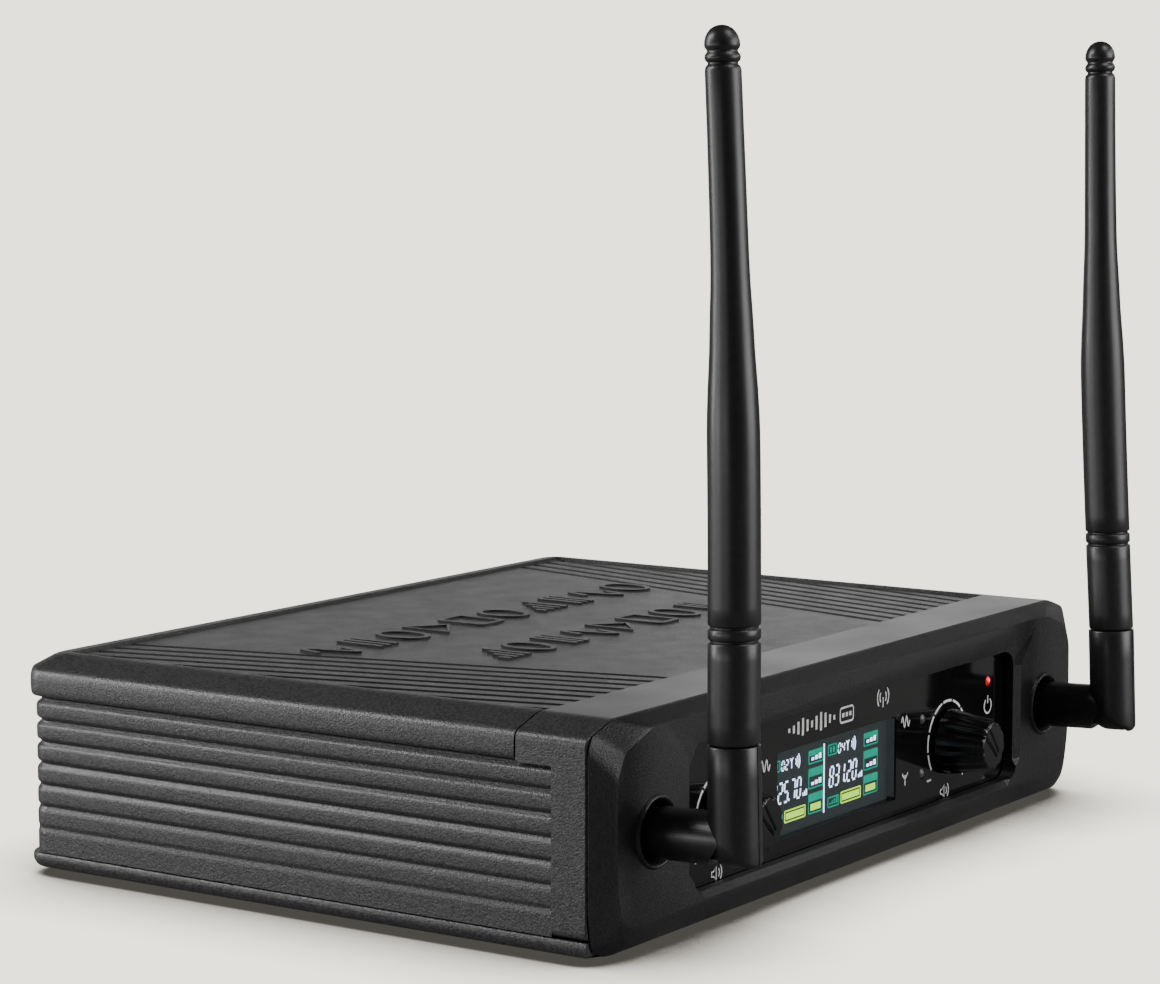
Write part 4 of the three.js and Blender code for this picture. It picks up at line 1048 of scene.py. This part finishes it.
def sleeve(side):
    r, low, end = SLEEVE_R, SLEEVE_R - RING_DEPTH, TIP_SEAM - 0.15
    outer = [(r - 0.35, JOINT), (r - 0.1, JOINT + 0.12), (r, JOINT + 0.4)]
    outer += [(r, z) for z in (22, 26, 30, 34)]
    for middle in (RING - 1.3, RING + 1.3):
        outer += [(r, middle - 0.5), (r - 0.08, middle - 0.38), (low, middle - 0.12), (low, middle + 0.12),
                  (r - 0.08, middle + 0.38), (r, middle + 0.5)]
    outer += [(r, z) for z in (44, 50, 56, 62, 68, 72)]
    outer += [(4.93, 76), (4.87, 79), (4.66, 84), (4.44, 87.5), (4.24, 91), (4.09, 95), (3.94, 98.5),
              (3.76, 102), (3.65, 105), (3.57, 109), (3.53, 113), (3.49, 118), (3.45, 125), (3.41, 131),
              (3.4, 137), (3.38, 141.9), (3.3, end - 0.65), (3.1, end - 0.3), (2.85, end - 0.05), (2.8, end)]
    inner = [(0, end), (0, 138.5)] + [(WHIP_R, z) for z in (138.5, 118, 90, 60, 42)]
    inner += [(SOCKET_R, 39.5), (SOCKET_R, JOINT)]
    piece = antenna_piece(side, "sleeve", turned(outer + inner, (0, MAST_Y, 0), "Z", 80, tube=True))
    antenna_finished(bowed(piece, ANTENNAS[side][2]), side, "sleeve")


def tip(side):
    """Domed cap over a rounded ring; heights are from the seam under it."""
    profile = [(0, -0.12), (2.78, -0.12), (2.78, 0.15), (2.95, 0.3), (3.2, 0.55), (TIP_R, 0.95),
               (TIP_R, 1.25), (3.2, 1.65), (2.95, 1.95), (TIP_NECK, 2.15), (TIP_NECK, 2.35), (3.0, 2.6),
               (3.24, 2.95), (3.32, 3.4), (3.26, 4.1), (3.02, 4.9), (2.65, 5.6), (2.1, 6.25), (1.4, 6.7),
               (0.7, 6.94), (0, 7)]
    profile = [(radius, TIP_SEAM + up) for radius, up in profile]
    piece = antenna_piece(side, "tip", turned(profile, (0, MAST_Y, 0), "Z", 64))
    antenna_finished(bowed(piece, ANTENNAS[side][2]), side, "tip")


# ---- rear connections ------------------------------------------------------


def rear_panel():
    outline = rectangle(-78, 78, 5.8, 36.2, 1.5)
    panel = raw_object("rear_panel", along_y(outline, [(PANEL_FRONT, 0), (PANEL_BACK, 0)]))
    holes = [circle(x, REAR_Z, XLR_HOLE, 64) for x in XLRS.values()]
    holes += [circle(JACK_X, REAR_Z, JACK_HOLE), rectangle(*DC_HOLE), rectangle(*SWITCH_HOLE)]
    cut(panel, *[along_y(hole, [(139, 0), (143, 0)]) for hole in holes])
    finished(panel, BLACK, "black_plastic", "rear_panel", bevel=0.15)


def xlr_output(channel, x):
    """Round socket with a flange behind the panel's face, and three contacts in its cup."""
    back, floor, flange = 121, 126, 143.2
    profile = [(9.7, floor), (9.7, flange - 0.6), (10.0, flange - 0.1), (10.2, flange), (11.2, flange),
               (11.5, flange - 0.2), (11.6, flange - 0.6), (11.6, back), (0, back), (0, floor)]
    name = f"xlr_output_{channel}"
    piece = raw_object(name, turned(profile, (x, 0, REAR_Z), "Y", 80))
    finished(piece, BLACK, "black_plastic", name)
    name = f"xlr_contacts_{channel}"
    disc = [(0, floor + 0.3), (9.4, floor + 0.3), (9.4, floor + 2), (9.1, floor + 2.3), (0, floor + 2.3)]
    contacts = raw_object(name, turned(disc, (x, 0, REAR_Z), "Y", 64))
    pin = [(0, 128), (1.2, 128), (1.2, 139), (1.0, 139.5), (0.5, 139.7), (0, 139.7)]
    places = [Vector(at) for at in arc(x, REAR_Z, PIN_CIRCLE, 30, 270, 2)]
    combine(contacts, "UNION", *[turned(pin, (at.x, 0, at.y), "Y", 24) for at in places])
    finished(contacts, TIN, "tinned_steel", name)


def jack_nut():
    hexagon = arc(JACK_X, REAR_Z, NUT_R, 30, 330, 5)
    piece = raw_object("jack_nut", along_y(hexagon, [(PANEL_BACK + GAP, 0), (NUT_BACK, 0)]))
    front, edge = 142.1, NUT_BACK - 0.6
    turned_edge = [(0, front), (NUT_R, front), (NUT_R, edge), (NUT_R - 0.8, NUT_BACK), (0, NUT_BACK)]
    combine(piece, "INTERSECT", turned(turned_edge, (JACK_X, 0, REAR_Z), "Y", 64))
    cut(piece, along_y(circle(JACK_X, REAR_Z, JACK_HOLE), [(141, 0), (146, 0)]))
    finished(piece, STEEL, "steel", "jack_nut", bevel=0.08)


# ---- CAD nodes that keep their own shape -----------------------------------

KEPT = {
    "socket_plate": BLACK, "display_module": BLACK, "control_board": BOARD, "main_board": BOARD,
    "board_ribbon": RIBBON, "jack_output": BLACK, "dc_inlet": BLACK, "power_switch_housing": BLACK,
    "power_rocker": BLACK,
}
for channel in KNOBS:
    KEPT[f"receiver_shield_{channel}"] = TIN
    KEPT[f"volume_pot_{channel}"] = STEEL
    KEPT[f"volume_spindle_{channel}"] = STEEL
for side in ANTENNAS:
    KEPT[f"antenna_coax_{side}"] = CABLE
    KEPT[f"antenna_{side}_retainer"] = STEEL
    KEPT[f"antenna_{side}_fold_pin"] = STEEL
    KEPT[f"antenna_{side}_whip"] = BRASS


def kept_nodes():
    for name, material in KEPT.items():
        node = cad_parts[name]
        for slot in node.material_slots:
            slot.material = material
        weld = node.modifiers.new("weld", "WELD")
        weld.merge_threshold = 0.000005
        bevel = node.modifiers.new("edges", "BEVEL")
        bevel.width = 0.0002
        bevel.segments = 2
        bevel.limit_method = "ANGLE"
        bevel.angle_limit = math.radians(35)
        bevel.harden_normals = True


# ---- studio ----------------------------------------------------------------

BACKGROUND = (2.68, 2.54, 2.26)
AMBIENT = (0.07, 0.07, 0.07)
CONTACT = 0.034   # reach of the contact shadow on the floor, in metres
FLOOR_RADIUS = 6.0
CAMERA_AT, CAMERA_DOWN, CAMERA_TURN, CAMERA_LENS = (-0.59687, -0.389687, 0.15715), 6.48, -56.12, 102.16
CASE_MIDDLE, MASTS_MIDDLE = (0, 0, 0.03), (0, 0, 0.1)
# Name, place, what it points at, width and height in metres, and power in watts.
LIGHTS = (
    ("strip_rear_left", (-0.44, 0.81, 0.35), MASTS_MIDDLE, (0.2, 0.7), 6.5),
    ("over_left", (-0.62, 0.67, 0.78), CASE_MIDDLE, (0.22, 0.22), 4.8),
    ("horizon_left", (-0.84, 0.58, 0.05), CASE_MIDDLE, (0.4, 0.08), 1.65),
    ("horizon_front", (-1.0, 0.05, 0.06), CASE_MIDDLE, (0.5, 0.1), 0.8),
    ("strip_front", (0.33, -0.9, 0.3), MASTS_MIDDLE, (0.66, 0.6), 7.2),
    ("over_front", (0.08, -0.5, 0.8), CASE_MIDDLE, (0.4, 0.3), 2.4),
    ("front_right", (0.8, -0.55, 0.45), CASE_MIDDLE, (0.6, 0.3), 1.0),
    ("backdrop", (1.2, 0.8, 0.18), CASE_MIDDLE, (1.6, 0.34), 1.75),
    ("right", (1.1, 0.35, 0.35), CASE_MIDDLE, (0.6, 0.3), 0.4),
)


def area_light(name, position, target, size, power):
    data = bpy.data.lights.new(name, "AREA")
    data.shape = "RECTANGLE"
    data.size, data.size_y = size
    data.energy = power
    lamp = bpy.data.objects.new(name, data)
    bpy.context.scene.collection.objects.link(lamp)
    lamp.location = position
    lamp.rotation_euler = (Vector(target) - Vector(position)).to_track_quat("-Z", "Y").to_euler()


def seen_or_met(tree, seen, met):
    """Shader that the camera sees as `seen`, while light and reflections meet `met`."""
    path = tree.nodes.new("ShaderNodeLightPath")
    mix = tree.nodes.new("ShaderNodeMixShader")
    tree.links.new(path.outputs["Is Camera Ray"], mix.inputs["Fac"])
    tree.links.new(met, mix.inputs[1])
    tree.links.new(seen, mix.inputs[2])
    return mix.outputs["Shader"]


def studio_floor():
    """Evenly bright pale floor, with a painted contact shadow only next to what stands on it."""
    material = bpy.data.materials.new("studio_floor")
    material.use_nodes = True
    tree = material.node_tree
    shader = set_sockets(tree.nodes["Principled BSDF"], Base_Color=(0.2, 0.2, 0.195, 1), Roughness=0.9)
    # The camera sees a glow dimmed by ambient occlusion: a painted contact shadow, not one that the lights
    # cast.
    near = set_sockets(tree.nodes.new("ShaderNodeAmbientOcclusion"), Distance=CONTACT)
    near.samples = 16
    shadow = set_sockets(tree.nodes.new("ShaderNodeMapRange"), From_Min=0.4, From_Max=0.97, To_Min=0.03)
    glow = set_sockets(tree.nodes.new("ShaderNodeEmission"), Color=(*BACKGROUND, 1))
    tree.links.new(near.outputs["AO"], shadow.inputs["Value"])
    tree.links.new(shadow.outputs["Result"], glow.inputs["Strength"])
    both = seen_or_met(tree, glow.outputs["Emission"], shader.outputs["BSDF"])
    tree.links.new(both, tree.nodes["Material Output"].inputs["Surface"])
    mesh = bpy.data.meshes.new("studio_floor")
    edge = circle(0, 0, FLOOR_RADIUS, 96)
    mesh.from_pydata([(x, y, 0) for x, y in edge], [], [tuple(range(len(edge)))])
    mesh.materials.append(material)
    floor = bpy.data.objects.new("studio_floor", mesh)
    bpy.context.scene.collection.objects.link(floor)


def studio_world():
    world = bpy.data.worlds.new("studio")
    bpy.context.scene.world = world
    world.use_nodes = True
    tree = world.node_tree
    tree.nodes.clear()
    seen = set_sockets(tree.nodes.new("ShaderNodeBackground"), Color=(*BACKGROUND, 1))
    around = set_sockets(tree.nodes.new("ShaderNodeBackground"), Color=(*AMBIENT, 1))
    output = tree.nodes.new("ShaderNodeOutputWorld")
    both = seen_or_met(tree, seen.outputs["Background"], around.outputs["Background"])
    tree.links.new(both, output.inputs["Surface"])


def camera():
    data = bpy.data.cameras.new("camera")
    data.sensor_fit = "HORIZONTAL"
    data.sensor_width = 36.0
    data.lens = CAMERA_LENS
    data.clip_start = 0.01
    obj = bpy.data.objects.new("camera", data)
    bpy.context.scene.collection.objects.link(obj)
    obj.location = CAMERA_AT
    obj.rotation_euler = (math.radians(90 - CAMERA_DOWN), 0, math.radians(CAMERA_TURN))
    bpy.context.scene.camera = obj


# ---- assembly --------------------------------------------------------------

camera()
studio_world()
studio_floor()
for light in LIGHTS:
    area_light(*light)

case_shell()
top_cover()
lid_emblem()
bottom_cover()
feet()
case_screws()

front_bezel()
front_window()
display_lens()
display_picture()
lamps()
panel_print()
for channel, x in KNOBS.items():
    volume_knob(channel, x)

for side in ANTENNAS:
    bush(side)
    barrel(side)
    knuckle(side)
    sleeve(side)
    tip(side)

rear_panel()
for channel, x in XLRS.items():
    xlr_output(channel, x)
jack_nut()
kept_nodes()
